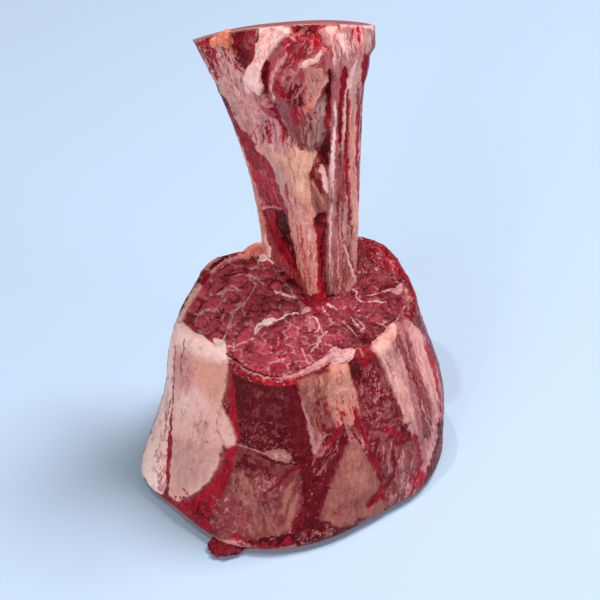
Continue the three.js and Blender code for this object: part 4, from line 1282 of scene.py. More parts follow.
def over_rim(last, roof, highest):
    """Rings from a wall's last one over the rounded rim, and a little way in across the cut."""
    inward = np.array([*RIM_MIDDLE, 0]) - last
    inward[:, 2] = 0
    inward /= np.linalg.norm(inward, axis=1)[:, None]
    rings = []
    for turn in np.radians(np.arange(1, ROUNDING_RINGS + 1) * (90 / ROUNDING_RINGS)):
        ring = last + inward * RIM_ROUNDING * (1 - math.cos(turn))
        share = highest + (1 - highest) * math.sin(turn)
        ring[:, 2] = share * roof(ring[:, 0], ring[:, 1])
        rings.append(ring)
    for step in np.arange(1, LIP_RINGS + 1) / LIP_RINGS:
        ring = last + inward * (RIM_ROUNDING + RIM_LIP * step)
        ring[:, 2] = roof(ring[:, 0], ring[:, 1]) - LIP_SINK * step
        rings.append(ring)
    return np.array(rings)


def draw_in_and_shade_foot(canvas, around):
    """Draws in the left of the foot under the meat, and darkens it there with painted shade."""
    start, full, ending, end = UNDERCUT_DEGREES
    height = canvas.points[:, 2]
    canvas.lift *= np.clip(height / FOOT_STILL, 0, 1)
    overhang = smoothstep(start, full, around) * smoothstep(end, ending, around)
    under = overhang * smoothstep(FOOT_UNDERCUT_HEIGHT, 0, height)
    # painted shade: dark maroon where the foot is drawn in under the meat
    canvas.lay("maroon", smoothstep(0.15, 0.6, under) * 0.9)
    canvas.lift -= FOOT_UNDERCUT * under


def make_meat():
    """The meat's side. Returns the roof over the upper cut, and the side's inner rim and foot."""
    tree = tree_of("shank_meat")
    roof = Roof(tree, RIM_MIDDLE, CUT_REACH, crowned=False)
    height = float(roof(*RIM_MIDDLE))
    highest = 1 - RIM_ROUNDING / height
    axis = axis_between(FOOT_MIDDLE, RIM_MIDDLE)
    coarse = wall_of(tree, roof, axis, np.linspace(FOOT_RISE, highest, WALL_RINGS), WALL_RAYS)
    coarse = blur(coarse, rings=2.2, columns=3.2)
    side = more_rings(coarse, int(height * highest / SIDE_STEP))
    side = respaced(side, MEAT_COLUMNS, front=1.9)
    side = blur(side, rings=1, columns=2)
    grid = np.concatenate([side, over_rim(side[-1], roof, highest)])

    rings, columns, _ = grid.shape
    points = grid.reshape(-1, 3)
    quads = ring_faces(rings, columns)
    steps = np.linalg.norm(np.diff(grid, axis=0), axis=2)
    climb = np.concatenate([np.zeros((1, columns)), np.cumsum(steps, axis=0)])
    grain, flat = wrapped(grid, RIM_MIDDLE, GRAIN_RADIUS, climb / GRAIN_STRETCH)
    canvas = Canvas(points, normals_of(points, quads), grain, flat)
    paint_side(canvas)
    paint_cut_on(canvas, np.nonzero(points[:, 2] > highest * height - CUT_DEPTH)[0])
    draw_in_and_shade_foot(canvas, flat[:, 0])
    # the foot closes on a point just inside the meat
    vertices = np.vstack([canvas.moved(), [[*FOOT_MIDDLE, 1.0]]])
    foot, _ = end_faces(len(points), columns)
    build("meat_side", "shank_meat", vertices, quads.tolist() + foot, canvas, SIDE)
    return roof, grid[-1], grid[0]


def paint_cut_on(canvas, rows):
    """Paints the upper cut on the part of a canvas that lies on it."""
    points = canvas.points[rows]
    part = Canvas(points, canvas.normals[rows], points * [1, 1, 0.3], canvas.flat[rows], wander=CUT_WANDER)
    for name in PAINTED:
        getattr(part, name)[:] = getattr(canvas, name)[rows]
    paint_cut(part)
    faces_up = smoothstep(0.55, 0.85, part.normals[:, 2])
    for name in PAINTED:
        old, new = getattr(canvas, name)[rows], getattr(part, name)
        getattr(canvas, name)[rows] = mix(old, new, faces_up[:, None] if old.ndim == 2 else faces_up)


def paint_upper_cut(canvas, gap):
    canvas.lay("muscle", 1.0)
    canvas.lay("sheath", 0.3, veil=True)
    canvas.draw(RIM)
    paint_cut(canvas)
    canvas.lift -= LIP_SINK * smoothstep(3, 0, gap)


def paint_sole(canvas, gap):
    """Large bundles with fat between them, and fat along the edge."""
    points, flat = canvas.points, canvas.points[:, :2]
    warp = np.stack([fractal(points, size=14, seed=51), fractal(points, size=14, seed=61)], 1)
    large, _, shade = cells(flat + 5 * warp, size=26, seed=7)
    small, _, small_shade = cells(flat + 2 * warp, size=5, seed=8)
    canvas.lay("cut", 1.0, tone=0.4 * (shade - 0.5) + 0.25 * (small_shade - 0.5))
    canvas.lay("maroon", smoothstep(0.6, 0.0, small) * 0.5)
    canvas.lay("cream", smoothstep(0.9, 0.2, large) * 0.8)
    canvas.lay("fat", smoothstep(4, 2, gap + canvas.broad) * 0.8)
    canvas.lift -= 0.25 * (1 - np.sqrt(np.clip(small / 2.5, 0, 1))) + 0.2 * smoothstep(1, 0, large)


# ---- The bone ----

SHIN_MIDDLE = (11.5, 37.6)
HEAD_MIDDLE = (-2.5, 40.6)
BONE_COLUMNS = 390
BONE_TINT = (1.17, 0.92, 0.9)  # tissues over bone are brighter and warmer
BONE_STEP = 0.78
HIDDEN_STEP = 12  # between rings inside the meat
BONE_LEAVES = 98  # the height at which the bone leaves the meat
BONE_RINGS, BONE_RAYS = 130, 480  # the rings and columns of rays that find its wall
BONE_RISE = 0.002
HEAD_REACH = 45  # the sawn top is measured this far from its middle
BONE_GRAIN_RADIUS, BONE_GRAIN_STRETCH = 22, 7
BARE_FROM = 90  # relief starts at this height, just inside the meat
SAWN_SHARE = 0.996  # the wall stops here, where rays still find it, and is drawn up to the saw cut
SAWN_SINK = 0.2  # how far the wall's edge lies below the sawn top
SAWN_STILL = 2.5  # the relief fades out this far below the saw cut
TOP_STEP = 0.6

SHAFT = [
    area("left face", "blood", [(228, 120), (241, 150), (251, 177), (258, 200), (261, 211), (272, 209),
        (284, 213), (290, 216), (288, 205), (282, 194), (276, 174), (270, 161), (256, 147), (244, 130)],
        veil=False),
    area("left face's web", "lilac", [(240, 148), (258, 154), (272, 170), (284, 206), (262, 208),
        (248, 172)], edge=4, texture="fine web", share=0.06, soft=0.05, strength=0.6, tone=-0.3),
    area("left face's pink", "sheath", [(248, 168), (266, 172), (280, 194), (286, 210), (262, 206)], edge=4,
        run=(20, 3, 18), share=0.25, soft=0.2, tone=-0.1),
    area("left face's dark top", "maroon", [(238, 130), (256, 142), (268, 160), (262, 168), (248, 158)],
        edge=3, run=(30, 3, 16), share=0.4, soft=0.15, tone=0.2),
    band("left edge", "peach", [(230, 122), (241, 150), (249, 174), (256, 196), (259, 212), (262, 232),
        (266, 254)], 3, end=9, ragged=0.8, tone=-0.05),
    band("left edge's foot", "cream", [(261, 224), (264, 240), (270, 256)], 5, end=8, run=(10, 2, 20),
        share=0.5, tone=-0.3),
    area("dark hollow", "blood", [(261, 212), (272, 210), (283, 212), (289, 228), (294, 248), (297, 263),
        (300, 276), (288, 266), (278, 254), (272, 242), (266, 226)], ragged=1.2, lift=-1.6, tone=-0.1,
        veil=False),
    # painted shade: darker maroon deep in the hollow
    area("hollow's depth", "maroon", [(274, 214), (284, 216), (291, 234), (297, 262), (299, 276),
        (288, 256), (278, 236)], edge=3, strength=0.95, tone=-0.4, lift=-0.8),
    area("hollow's fibres", "sheath", [(262, 214), (276, 212), (286, 240), (294, 266), (282, 260),
        (268, 232)], run=(22, 1.8, 16), share=0.08, strength=0.6, tone=0.2),
    area("hollow's glints", "lilac", [(276, 246), (288, 250), (298, 270), (284, 262)], texture="fleck",
        share=0.06, soft=0.04, strength=0.7),
    band("pink band", "lilac", [(260, 210), (267, 207), (275, 207.5), (282, 210)], 3, tone=-0.2, lift=0.5,
        ragged=1),
    area("bright blot", "blood", [(284, 211), (291, 211), (293, 218), (290, 224), (284, 220)], tone=0.4),
    area("crest", "tallow", [(255, 146), (268, 139), (282, 137), (292, 142), (305, 147), (317, 150),
        (311, 167), (308, 176), (311, 189), (316, 205), (323, 213), (313, 219), (312, 229), (318, 236),
        (319, 250), (319, 277), (321, 298), (310, 298), (305, 284), (299, 271), (295, 257), (292, 241),
        (292, 226), (288, 211), (282, 194), (276, 174), (270, 161), (259, 151)], ragged=0.8, lift=0.9,
        tone=-0.05, calm=0.2),
    area("crest's cream top", "tallow", [(264, 143), (284, 139), (306, 148), (316, 152), (309, 174),
        (311, 200), (300, 196), (290, 172), (276, 156)], edge=5, strength=0.8, tone=0.35, calm=0.4),
    area("crest's grey edge", "pearl", [(262, 150), (274, 154), (284, 176), (291, 200), (293, 214),
        (286, 204), (278, 180), (270, 162)], edge=2, run=(20, 3, 30), share=0.75, soft=0.2, tone=0.4),
    area("crest's fan", "sheath", [(270, 138), (284, 132), (296, 150), (306, 188), (312, 214), (300, 200),
        (288, 164)], edge=3, run=(15, 1.8, 30), share=0.26, soft=0.1, tone=0.3, strength=0.75),
    area("crest's red streaks", "blood", [(286, 186), (296, 188), (308, 216), (316, 240), (312, 262),
        (300, 240), (292, 214)], edge=3, run=(16, 2.4, 34), share=0.42, soft=0.18, tone=0.4, strength=0.85),
    area("crest's salmon foot", "peach", [(290, 212), (308, 212), (318, 240), (319, 284), (312, 294),
        (298, 266)], edge=5, run=(10, 3, 30), share=0.6, soft=0.35, tone=0.5, strength=0.8),
    area("crest's low red streaks", "blood", [(292, 232), (308, 226), (318, 248), (321, 294), (311, 297),
        (300, 272)], edge=3, run=(8, 2, 34), share=0.36, soft=0.2, tone=1.0, strength=0.8),
    area("crest's pink streaks", "lilac", [(290, 200), (310, 200), (320, 250), (321, 296), (310, 297),
        (296, 250)], edge=3, run=(9, 2, 30), soft=0.25, strength=0.7),
    # painted glints: thin white lines along the crest's wet lower part
    area("crest's wet lines", "white", [(304, 222), (314, 232), (320, 262), (321, 294), (312, 296),
        (304, 262)], edge=3, run=(8, 1.3, 34), share=0.14, soft=0.1, tone=-0.3, strength=0.75, lift=0.2),
    area("crest's specks", "white", [(290, 214), (310, 214), (319, 250), (318, 280), (300, 262)],
        texture="fleck", share=0.09, soft=0.03, strength=0.8),
    area("beige flat", "beige", [(308, 178), (318, 184), (326, 196), (328, 210), (320, 216), (312, 206)],
        edge=1.5, tone=0.55, lift=0.2),
    area("flat's dark", "muscle", [(313, 180), (322, 180), (324, 192), (319, 196)], edge=2, ragged=2,
        tone=0.2),
    band("flat's thread", "peach", [(311, 180), (317, 190), (324, 204)], 1.8),
    area("dark gap", "blood", [(320, 122), (330, 118), (331, 150), (328, 166), (320, 174), (311, 178),
        (312, 166), (317, 150)], edge=1.3, ragged=1.4, lift=-1.2, tone=-0.25),
    area("gap's core", "maroon", [(323, 126), (330, 124), (330, 158), (323, 164)], edge=1.8, ragged=1.4,
        strength=0.95, tone=-0.2, lift=-0.6),
    area("gap's pink", "sheath", [(311, 166), (318, 158), (323, 164), (318, 176), (311, 178)], edge=1.5,
        texture="mottle", share=0.45, tone=0.2),
    area("pale wedge", "cream", [(320, 166), (325, 168), (328, 180), (329, 196), (323, 184)], edge=1,
        strength=0.95, lift=0.5, tone=-0.1),
    band("red groove", "blood", [(319, 214), (320, 230), (321, 250), (321.5, 272), (322, 298)], 10, end=7,
        edge=0.9, ragged=0.8, tone=0.8, lift=-1.5),
    band("groove's dark edge", "maroon", [(324, 216), (325, 240), (325, 268), (325, 296)], 3, strength=0.8,
        run=(0, 2, 20), share=0.7),
    area("groove's dark head", "maroon", [(315, 213), (327, 213), (326, 228), (318, 226)], edge=2,
        strength=0.7, tone=0.3),
    area("blood at the foot", "blood", [(315, 292), (328, 292), (329, 301), (322, 305), (314, 301)],
        edge=1.5, tone=0.2, lift=0.2),
]

COLUMN = [
    area("right column", "sheath", [(331, 40), (345, 24), (366, 20), (366, 46), (364, 80), (362, 110),
        (361, 150), (361, 200), (361, 240), (362, 284), (340, 294), (327, 300), (327, 230), (329, 180),
        (331, 120)], edge=1.0, ragged=0.6, tone=0.2),
    area("column's pale fibres", "pearl", [(344, 60), (364, 40), (362, 120), (360, 200), (361, 282),
        (340, 290), (338, 200)], run=(-1, 2.4, 60), share=0.55, soft=0.12, tone=0.35, lift=0.3),
    area("panel at the top right", "lilac", [(328, 34), (346, 24), (363, 22), (363, 52), (356, 66),
        (345, 72), (334, 72), (330, 52)], edge=1.4, ragged=1.2, run=(4, 3, 26), share=0.85, soft=0.2,
        tone=-0.05, lift=0.4),
    area("panel's white", "cream", [(328, 40), (340, 32), (352, 40), (348, 62), (336, 72), (330, 60)],
        edge=3, run=(6, 2.6, 24), share=0.5, soft=0.25, tone=-0.05, strength=0.85),
    area("panel's grey", "mauve", [(330, 44), (360, 30), (362, 52), (346, 72), (334, 70)], edge=3,
        run=(5, 1.8, 24), share=0.25, soft=0.15, tone=0.7, strength=0.8),
    area("panel's red", "blood", [(350, 28), (360, 26), (360, 46), (354, 50)], edge=2, run=(4, 2, 20),
        share=0.4, tone=0.5, strength=0.7),
    band("white stripe, high", "lilac", [(338, 60), (337, 80), (335, 100), (333.5, 124), (333, 150)], 11,
        end=6, ragged=0.6, tone=-0.55, lift=0.9, run=(1, 3, 50), share=0.8, soft=0.2),
    band("white stripe, low", "pearl", [(334, 146), (333, 170), (331.5, 200), (331, 232), (330.5, 266),
        (330, 296)], 9, end=7, ragged=0.6, tone=-0.1, lift=0.9, run=(1, 3, 50), share=0.9),
    area("column's blur", "lilac", [(340, 150), (360, 150), (361, 280), (338, 290)], edge=5, run=(0, 5, 60),
        share=0.5, soft=0.5, tone=-0.2, strength=0.4),
    band("stripe's bright line", "white", [(335, 100), (334, 150), (332, 200), (331, 250), (330, 290)], 3.5,
        run=(0, 2, 40), share=0.6, tone=-0.2),
    band("maroon stripe", "blood", [(344, 66), (343, 84), (341, 104), (340, 124), (340, 146)], 7, end=3.5,
        lift=-1.0, ragged=0.6, tone=-0.35),
    band("pale strand", "white", [(358, 60), (352, 74), (347, 94), (345, 116), (345, 140)], 4, end=2.5,
        ragged=0.6, tone=-0.35, lift=0.5),
    band("lilac stripe", "mauve", [(340, 150), (341, 176), (340, 200), (338, 222)], 8, end=5, ragged=0.8,
        tone=0.5, run=(-1, 2, 40), share=0.85),
    band("lilac stripe's dark lines", "maroon", [(341, 152), (341, 180), (339, 214)], 7, run=(0, 1.5, 34),
        share=0.22, strength=0.9, tone=0.4),
    band("red stripe", "blood", [(348, 90), (348, 120), (347, 150), (347, 176), (349, 196), (350, 216),
        (351, 240)], 4.5, end=3.4, ragged=0.6, tone=0.1, lift=-0.6),
    band("peach stripe", "peach", [(353, 96), (352, 130), (352, 160), (353, 190), (355, 214), (356, 240)],
        5.5, ragged=0.8, tone=0.1, lift=0.5, run=(-1, 2.4, 40), share=0.85),
    band("second red stripe", "blood", [(358, 84), (358, 112), (357, 146), (358, 176), (359, 206)], 3.2,
        ragged=0.8, tone=0.1, lift=-0.5, strength=0.9),
    band("dark right edge", "blood", [(367, 50), (365, 66), (363, 84), (362, 112), (361, 140)], 7, end=3,
        ragged=0.8, tone=-0.25),
    area("lower beige", "fat", [(338, 226), (348, 222), (359, 236), (361, 262), (362, 284), (350, 292),
        (336, 296), (336, 260)], edge=2.5, run=(2, 3, 40), share=0.7, soft=0.2, tone=-0.35),
    area("low mauve lines", "mauve", [(336, 228), (348, 226), (352, 262), (346, 290), (336, 292)],
        run=(1, 1.8, 30), share=0.4, soft=0.12, tone=0.2),
    band("low dark line", "blood", [(347, 250), (352, 266), (357, 282)], 3, tone=0.1, lift=-0.4),
    band("low strand", "white", [(344, 244), (348, 258), (353, 274), (356, 284)], 2.4, tone=-0.2, lift=0.4),
    band("right rim's peach", "cream", [(357, 214), (359, 240), (359, 268), (361, 284)], 3.4, strength=0.8,
        tone=-0.3),
]

WING = [
    area("wing face", "pearl", [(202, 44), (222, 45), (228, 56), (233, 67), (243, 68), (247, 78), (252, 95),
        (263, 111), (270, 121), (267, 125), (256, 133), (246, 134), (240, 122), (233, 107), (226, 97),
        (218, 77), (210, 62)], edge=1.6, tone=0.3, calm=0.3),
    area("wing's creamy middle", "fat", [(216, 54), (228, 60), (240, 76), (250, 98), (258, 114), (246, 118),
        (234, 98), (222, 74)], edge=5, run=(27, 4, 20), share=0.55, soft=0.35, tone=0.1, strength=0.8,
        calm=0.3),
    area("wing's grey streaks", "mauve", [(206, 48), (232, 60), (252, 92), (258, 112), (240, 108),
        (222, 78)], edge=3, run=(24, 1.6, 18), share=0.22, soft=0.15, tone=0.7, strength=0.8),
    area("wing's grain", "sheath", [(206, 48), (232, 60), (256, 100), (266, 122), (246, 126), (224, 84)],
        edge=3, texture="mottle", share=0.18, soft=0.15, tone=0.6, strength=0.7),
    area("wing's low pink", "lilac", [(236, 98), (256, 104), (268, 120), (256, 132), (244, 128)], edge=4,
        texture="mottle", share=0.6, soft=0.3, tone=0.3),
    area("low pink's web", "blood", [(236, 98), (256, 104), (268, 120), (256, 132), (244, 128)], edge=4,
        texture="fine web", share=0.1, soft=0.06, tone=0.4, strength=0.7),
    area("streaks at the wing's tip", "blood", [(190, 42), (212, 42), (218, 58), (220, 78), (210, 76),
        (199, 60)], edge=2, run=(26, 2.4, 14), share=0.55, soft=0.15, tone=-0.05),
    area("tip's dark streaks", "maroon", [(190, 42), (208, 44), (214, 66), (208, 72), (198, 58)], edge=2,
        run=(28, 2, 12), share=0.25, soft=0.12, tone=0.4),
    band("wing's red edge", "blood", [(196, 50), (205, 70), (213, 84), (220, 96), (226, 106), (234, 122),
        (242, 140)], 5, end=6, run=(27, 2.4, 18), share=0.8, soft=0.15, tone=-0.05),
    band("wing's dark spot", "maroon", [(215, 84), (221, 96), (228, 106)], 4, ragged=1.2, tone=0.3),
    band("wing's outer line", "peach", [(206, 76), (214, 90), (222, 108), (230, 128), (238, 146)], 2,
        run=(24, 1.6, 18), share=0.6, tone=-0.1),
    area("red under the rim", "blood", [(229, 32), (258, 29), (262, 40), (258, 55), (252, 62), (246, 60),
        (240, 54), (231, 50), (228, 42)], edge=1.6, ragged=2.2, lift=-0.8),
    area("red's fringe", "blood", [(222, 44), (250, 54), (248, 74), (236, 70), (226, 58)], edge=2,
        run=(22, 2.4, 12), share=0.5, soft=0.15, tone=-0.15),
    # painted shade: darker maroon over the blood in the hollow under the rim
    area("dark under the rim", "maroon", [(230, 44), (244, 48), (250, 60), (246, 68), (236, 60)], edge=3,
        ragged=2, run=(15, 3, 12), share=0.5, soft=0.2, tone=0.3),
    area("pink in the red", "sheath", [(242, 38), (256, 38), (254, 52), (245, 52)], edge=3, ragged=2.4,
        texture="mottle", share=0.4, soft=0.2, tone=0.2, strength=0.8),
    band("bead's tail", "peach", [(227, 42), (230, 48), (231, 54)], 4, end=2, tone=-0.3, lift=0.5),
    area("red low on the wing", "blood", [(240, 128), (250, 132), (266, 124), (272, 118), (281, 126),
        (276, 142), (262, 142), (248, 150)], edge=2, ragged=2.4, run=(-36, 3, 14), share=0.7, soft=0.15,
        tone=-0.1),
    area("dark low on the wing", "maroon", [(256, 128), (266, 120), (273, 118), (270, 134), (262, 142)],
        edge=3, ragged=2.4, run=(-40, 2.4, 12), share=0.55, soft=0.15, lift=-0.6, tone=0.2),
]

KNOB = [
    area("under the knob", "pearl", [(274, 102), (292, 104), (306, 108), (326, 96), (328, 116), (326, 134),
        (320, 150), (304, 148), (288, 142), (274, 128)], edge=2, ragged=2, tone=-0.45, lift=-1.4),
    area("under the knob, mauve", "mauve", [(276, 106), (292, 108), (310, 124), (306, 148), (288, 142)],
        run=(24, 2.4, 24), share=0.75, soft=0.25, tone=-0.05),
    area("under the knob, dark lines", "maroon", [(276, 106), (300, 108), (318, 124), (306, 148),
        (288, 142)], run=(22, 1.5, 20), share=0.14, tone=0.4, strength=0.8),
    area("under the knob, grey", "pearl", [(312, 100), (326, 96), (327, 128), (316, 148), (306, 140)],
        edge=3, run=(-8, 4, 20), share=0.7, soft=0.3, tone=0.3, calm=0.4),
    area("under the knob, red", "blood", [(284, 104), (308, 106), (318, 116), (306, 128), (290, 118)],
        edge=3, run=(20, 2.4, 16), share=0.35, soft=0.15, tone=-0.1),
    area("fan of strands", "lilac", [(252, 136), (268, 118), (284, 122), (294, 142), (284, 152),
        (262, 150)], edge=2, ragged=2, run=(14, 2, 24), share=0.6, soft=0.15, tone=-0.1),
    area("fan's red", "blood", [(262, 130), (274, 116), (290, 136), (280, 148)], run=(14, 2, 18),
        share=0.35, soft=0.1, tone=0.3),
    band("dark line from the knob", "blood", [(262, 92), (268, 103), (274, 114), (280, 126), (286, 136)], 6,
        end=3, tone=-0.3, lift=-0.8, ragged=1.2),
    area("knob", "sheath", [(262, 28), (286, 26), (330, 24), (332, 44), (330, 70), (326, 92), (312, 104),
        (298, 106), (284, 104), (270, 106), (258, 100), (248, 84), (254, 62), (260, 44)], edge=1.6,
        lift=1.0),
    area("knob's flesh", "blood", [(280, 34), (300, 26), (318, 30), (322, 44), (312, 56), (302, 70),
        (298, 88), (288, 96), (276, 92), (274, 74)], edge=3, ragged=2.4, texture="mottle", share=0.6,
        soft=0.25, tone=0.05),
    area("knob's strands", "lilac", [(276, 62), (286, 44), (306, 36), (314, 46), (304, 64), (292, 78),
        (282, 84)], edge=3, run=(-40, 2.6, 14), soft=0.15, tone=-0.2, lift=0.8, strength=0.85),
    area("knob's crimson", "muscle", [(282, 46), (296, 34), (316, 34), (318, 48), (300, 60), (288, 70)],
        edge=3, ragged=2.4, run=(-36, 3, 12), share=0.45, soft=0.15, tone=0.2, lift=-0.6),
    area("knob's salmon lumps", "lilac", [(277, 72), (290, 67), (298, 76), (294, 88), (282, 86)], edge=3,
        ragged=2, texture="mottle", share=0.5, soft=0.2, tone=-0.3, lift=0.6),
    area("knob's low streaks", "maroon", [(283, 88), (300, 84), (306, 100), (296, 108), (284, 102)], edge=3,
        ragged=2, run=(-14, 2.6, 14), share=0.5, soft=0.15, tone=0.4, lift=-0.6),
    area("knob's grains", "lilac", [(286, 36), (314, 34), (316, 54), (300, 66), (284, 60)], texture="fleck",
        share=0.1, soft=0.06, tone=0.2, strength=0.8),
    area("hollow at the top", "blood", [(286, 27), (300, 24), (330, 23), (350, 22), (342, 26), (326, 29),
        (320, 38), (306, 40), (294, 36)], edge=1.6, ragged=1.8, lift=-1.4),
    area("hollow's dark", "maroon", [(290, 28), (318, 25), (320, 33), (306, 38), (296, 36)], edge=3,
        ragged=2.4, texture="mottle", share=0.5, soft=0.12, lift=-0.8, tone=0.2),
    area("hollow's pink lumps", "sheath", [(290, 30), (318, 26), (322, 36), (304, 40)], edge=2, ragged=2,
        texture="mottle", share=0.22, soft=0.1, lift=0.5, tone=0.4),
    area("grey patch", "mauve", [(264, 46), (281, 44), (284, 54), (274, 60), (264, 58)], edge=2, ragged=1.8,
        tone=0.6, lift=0.3),
    area("left band", "cream", [(260, 27), (284, 27), (291, 32), (281, 43), (272, 53), (268, 64), (265, 78),
        (264, 88), (265, 98), (270, 107), (257, 98), (250, 93), (245, 83), (246, 76), (252, 62), (256, 50),
        (259, 38)], edge=1.4, ragged=1.2, tone=0.05, lift=2.2, calm=0.3, veil=False),
    area("left band's pinks", "lilac", [(264, 28), (288, 30), (280, 42), (268, 56), (260, 74), (256, 62),
        (262, 46)], edge=2, run=(-20, 3, 14), share=0.4, soft=0.3, tone=0.2, strength=0.8),
    area("left band's fine red", "blood", [(262, 30), (284, 30), (274, 50), (262, 70), (256, 66)], edge=2,
        texture="fine web", share=0.05, soft=0.04, tone=0.5, strength=0.6),
    area("left band's foot", "lilac", [(250, 88), (262, 90), (270, 107), (260, 103)], edge=2, tone=-0.3,
        strength=0.85),
    area("creamy tip", "cream", [(246, 79), (251, 76), (255, 84), (253, 92), (248, 90)], edge=2, tone=-0.1,
        lift=0.3),
    band("dark beside the band", "blood", [(268, 58), (266, 70), (266, 84), (268, 95), (273, 106)], 5,
        end=4.5, edge=1.2, ragged=1.4, lift=-1.6, tone=-0.3),
    band("its dark foot", "maroon", [(268, 92), (270, 99), (275, 106)], 4, tone=0.1, lift=-0.4, ragged=1),
    band("second ridge", "lilac", [(286, 56), (279, 66), (274, 76), (273, 87), (277, 97), (286, 107)], 6,
        end=4, edge=1.8, ragged=2.2, tone=-0.1, lift=1.6, run=(-14, 2.6, 16), share=0.8, soft=0.3),
    # painted highlight: a cream line along the top of the second ridge
    band("second ridge's light", "cream", [(278, 68), (274, 78), (273, 88), (276, 96)], 2.4, tone=-0.2,
        strength=0.8, ragged=1.4, edge=1.2),
    band("diagonal ridge", "lilac", [(266, 29), (282, 33.5), (291, 38), (297, 41)], 2.6, end=1.6,
        ragged=0.8, lift=0.8, tone=0.2),
    area("red slot", "blood", [(314, 40), (326, 39), (326, 46), (316, 47)], edge=2, ragged=1.8, lift=-0.8),
    band("white strip", "cream", [(302, 65), (308, 62), (315, 59), (320, 53), (323, 50)], 6, end=4,
        ragged=1.4, edge=1.2, tone=-0.1, lift=1.4, calm=0.2),
    band("white strip's underside", "sheath", [(303, 68), (312, 66), (320, 61), (325, 54)], 3, tone=0.5,
        ragged=1),
    band("pink fold", "sheath", [(323, 48), (327, 58), (328, 72)], 6, end=4, tone=0.8, ragged=1.2,
        lift=0.6),
    band("thin strand", "lilac", [(302, 64), (304, 76), (302, 88), (295, 98)], 1.6, lift=0.5, tone=-0.1,
        strength=0.8),
    area("torn flap", "peach", [(306, 66), (313, 65), (320, 66), (324, 73), (325, 79), (319, 88), (314, 98),
        (310, 108), (306, 112), (303, 106), (305, 92), (305, 78)], edge=1.1, ragged=1.0, tone=-0.2,
        lift=1.8, calm=0.2),
    area("flap's grey face", "pearl", [(306, 68), (316, 68), (320, 76), (315, 86), (308, 96), (306, 84)],
        edge=3, strength=0.85, tone=0.05, run=(14, 3, 20), share=0.7, soft=0.3, calm=0.2),
    area("flap's red fibres", "blood", [(305, 76), (316, 74), (314, 92), (306, 104)], edge=2,
        run=(12, 1.8, 14), share=0.25, soft=0.12, tone=0.4, strength=0.8),
    band("flap's bright edge", "peach", [(324, 74), (320, 85), (315, 95), (311, 105)], 2.6, tone=0.5,
        lift=0.6),
    area("flap's orange foot", "orange", [(304, 100), (310, 101), (309, 112), (304, 110)], edge=1.8,
        tone=0.2, strength=0.8),
    band("groove beside the column", "blood", [(329, 68), (328.5, 88), (328, 106), (326, 132)], 4,
        ragged=1.2, lift=-1.6, tone=-0.3),
    area("gristle cap", "cream", [(362, 20), (371, 20), (372, 30), (365, 31)], edge=1, ragged=0.6, lift=1.0,
        tone=0.2),
    area("gristle's side", "pearl", [(364, 30), (372, 29), (373, 42), (369, 50), (365, 52)], ragged=0.6,
        lift=0.8, tone=0.5),
    area("torn gristle", "mauve", [(370, 42), (375, 36), (377, 46), (372, 54), (368, 54)], edge=0.9,
        tone=0.5),
    area("top right lobes", "lilac", [(320, 30), (330, 28), (336, 36), (334, 44), (325, 45)], edge=2.5,
        ragged=2.2, tone=-0.1, lift=0.8),
    area("lobes' cream", "cream", [(321, 29), (334, 26), (348, 24), (344, 30), (332, 36), (322, 36)],
        edge=2, ragged=2, texture="mottle", share=0.6, soft=0.25, tone=-0.3, lift=0.4),
    band("rim line, left", "peach", [(190, 42), (206, 37), (222, 33.5), (240, 29.5), (262, 26)], 3,
        ragged=0.3, tone=0.3),
    band("red under the rim line", "blood", [(194, 45), (206, 41.5), (220, 41)], 4, tone=0.1),
    band("rim line, right", "peach", [(274, 25), (300, 21.5), (330, 19.5), (364, 19.5)], 2.4, ragged=0.3,
        tone=0.2),
    band("red under the rim, right", "blood", [(292, 25.5), (316, 23.5), (350, 22.5)], 3),
]

# degrees round the bone, and mm up it
HIDDEN_BONE = [
    area("back of the shaft", "lilac", [(34, 100), (70, 104), (128, 100), (146, 130), (134, 176),
        (142, 214), (96, 250), (60, 232), (44, 190), (28, 150)], edge=8, ragged=10, run=(3, 6, 90),
        share=0.55, soft=0.25, tone=-0.25),
    area("back of the wing", "pearl", [(96, 268), (108, 236), (124, 212), (138, 176), (150, 160),
        (164, 196), (176, 232), (180, 270), (140, 274)], edge=8, ragged=10, run=(4, 9, 90), share=0.8,
        soft=0.3, tone=0.2),
    area("back of the head", "lilac", [(20, 264), (26, 232), (42, 216), (80, 236), (98, 262), (60, 270)],
        edge=6, ragged=8, run=(-4, 6, 60), share=0.65, soft=0.25, tone=-0.1),
    area("red down the back", "blood", [(84, 100), (108, 104), (116, 150), (104, 196), (108, 236),
        (96, 244), (92, 190), (98, 150)], edge=4, ragged=6, run=(2, 4, 60), share=0.65, soft=0.2, tone=-0.1,
        lift=-0.8),
    area("second red line", "muscle", [(46, 100), (58, 104), (62, 150), (54, 196), (44, 160)], edge=3,
        ragged=5, run=(2, 3, 50), share=0.7, soft=0.2),
    area("third red line", "blood", [(132, 100), (148, 104), (150, 150), (142, 170), (136, 140)], edge=3,
        ragged=5, run=(2, 3, 50), share=0.6, soft=0.2),
    band("back tendon", "fat", [(72, 104), (77, 140), (72, 176), (76, 220), (70, 250)], 9, end=4, ragged=4,
        lift=0.8, tone=-0.2, run=(2, 4, 60), share=0.8),
    band("rim at the back", "peach", [(20, 262), (60, 252), (100, 254), (140, 262), (176, 270)], 3,
        ragged=2, strength=0.6),
]


def paint_bone(canvas):
    """Bone under scraps of sinew and meat, in streaks that run along it."""
    canvas.lay("sheath", 1.0)
    canvas.all_over("blood", "streak", 0.35, soft=0.2, veil=True)
    canvas.draw(HIDDEN_BONE, hidden=True)
    for layers in (SHAFT, WING, COLUMN, KNOB):
        canvas.draw(layers)
    weather(canvas)
    canvas.colour *= BONE_TINT
    canvas.film *= BONE_TINT


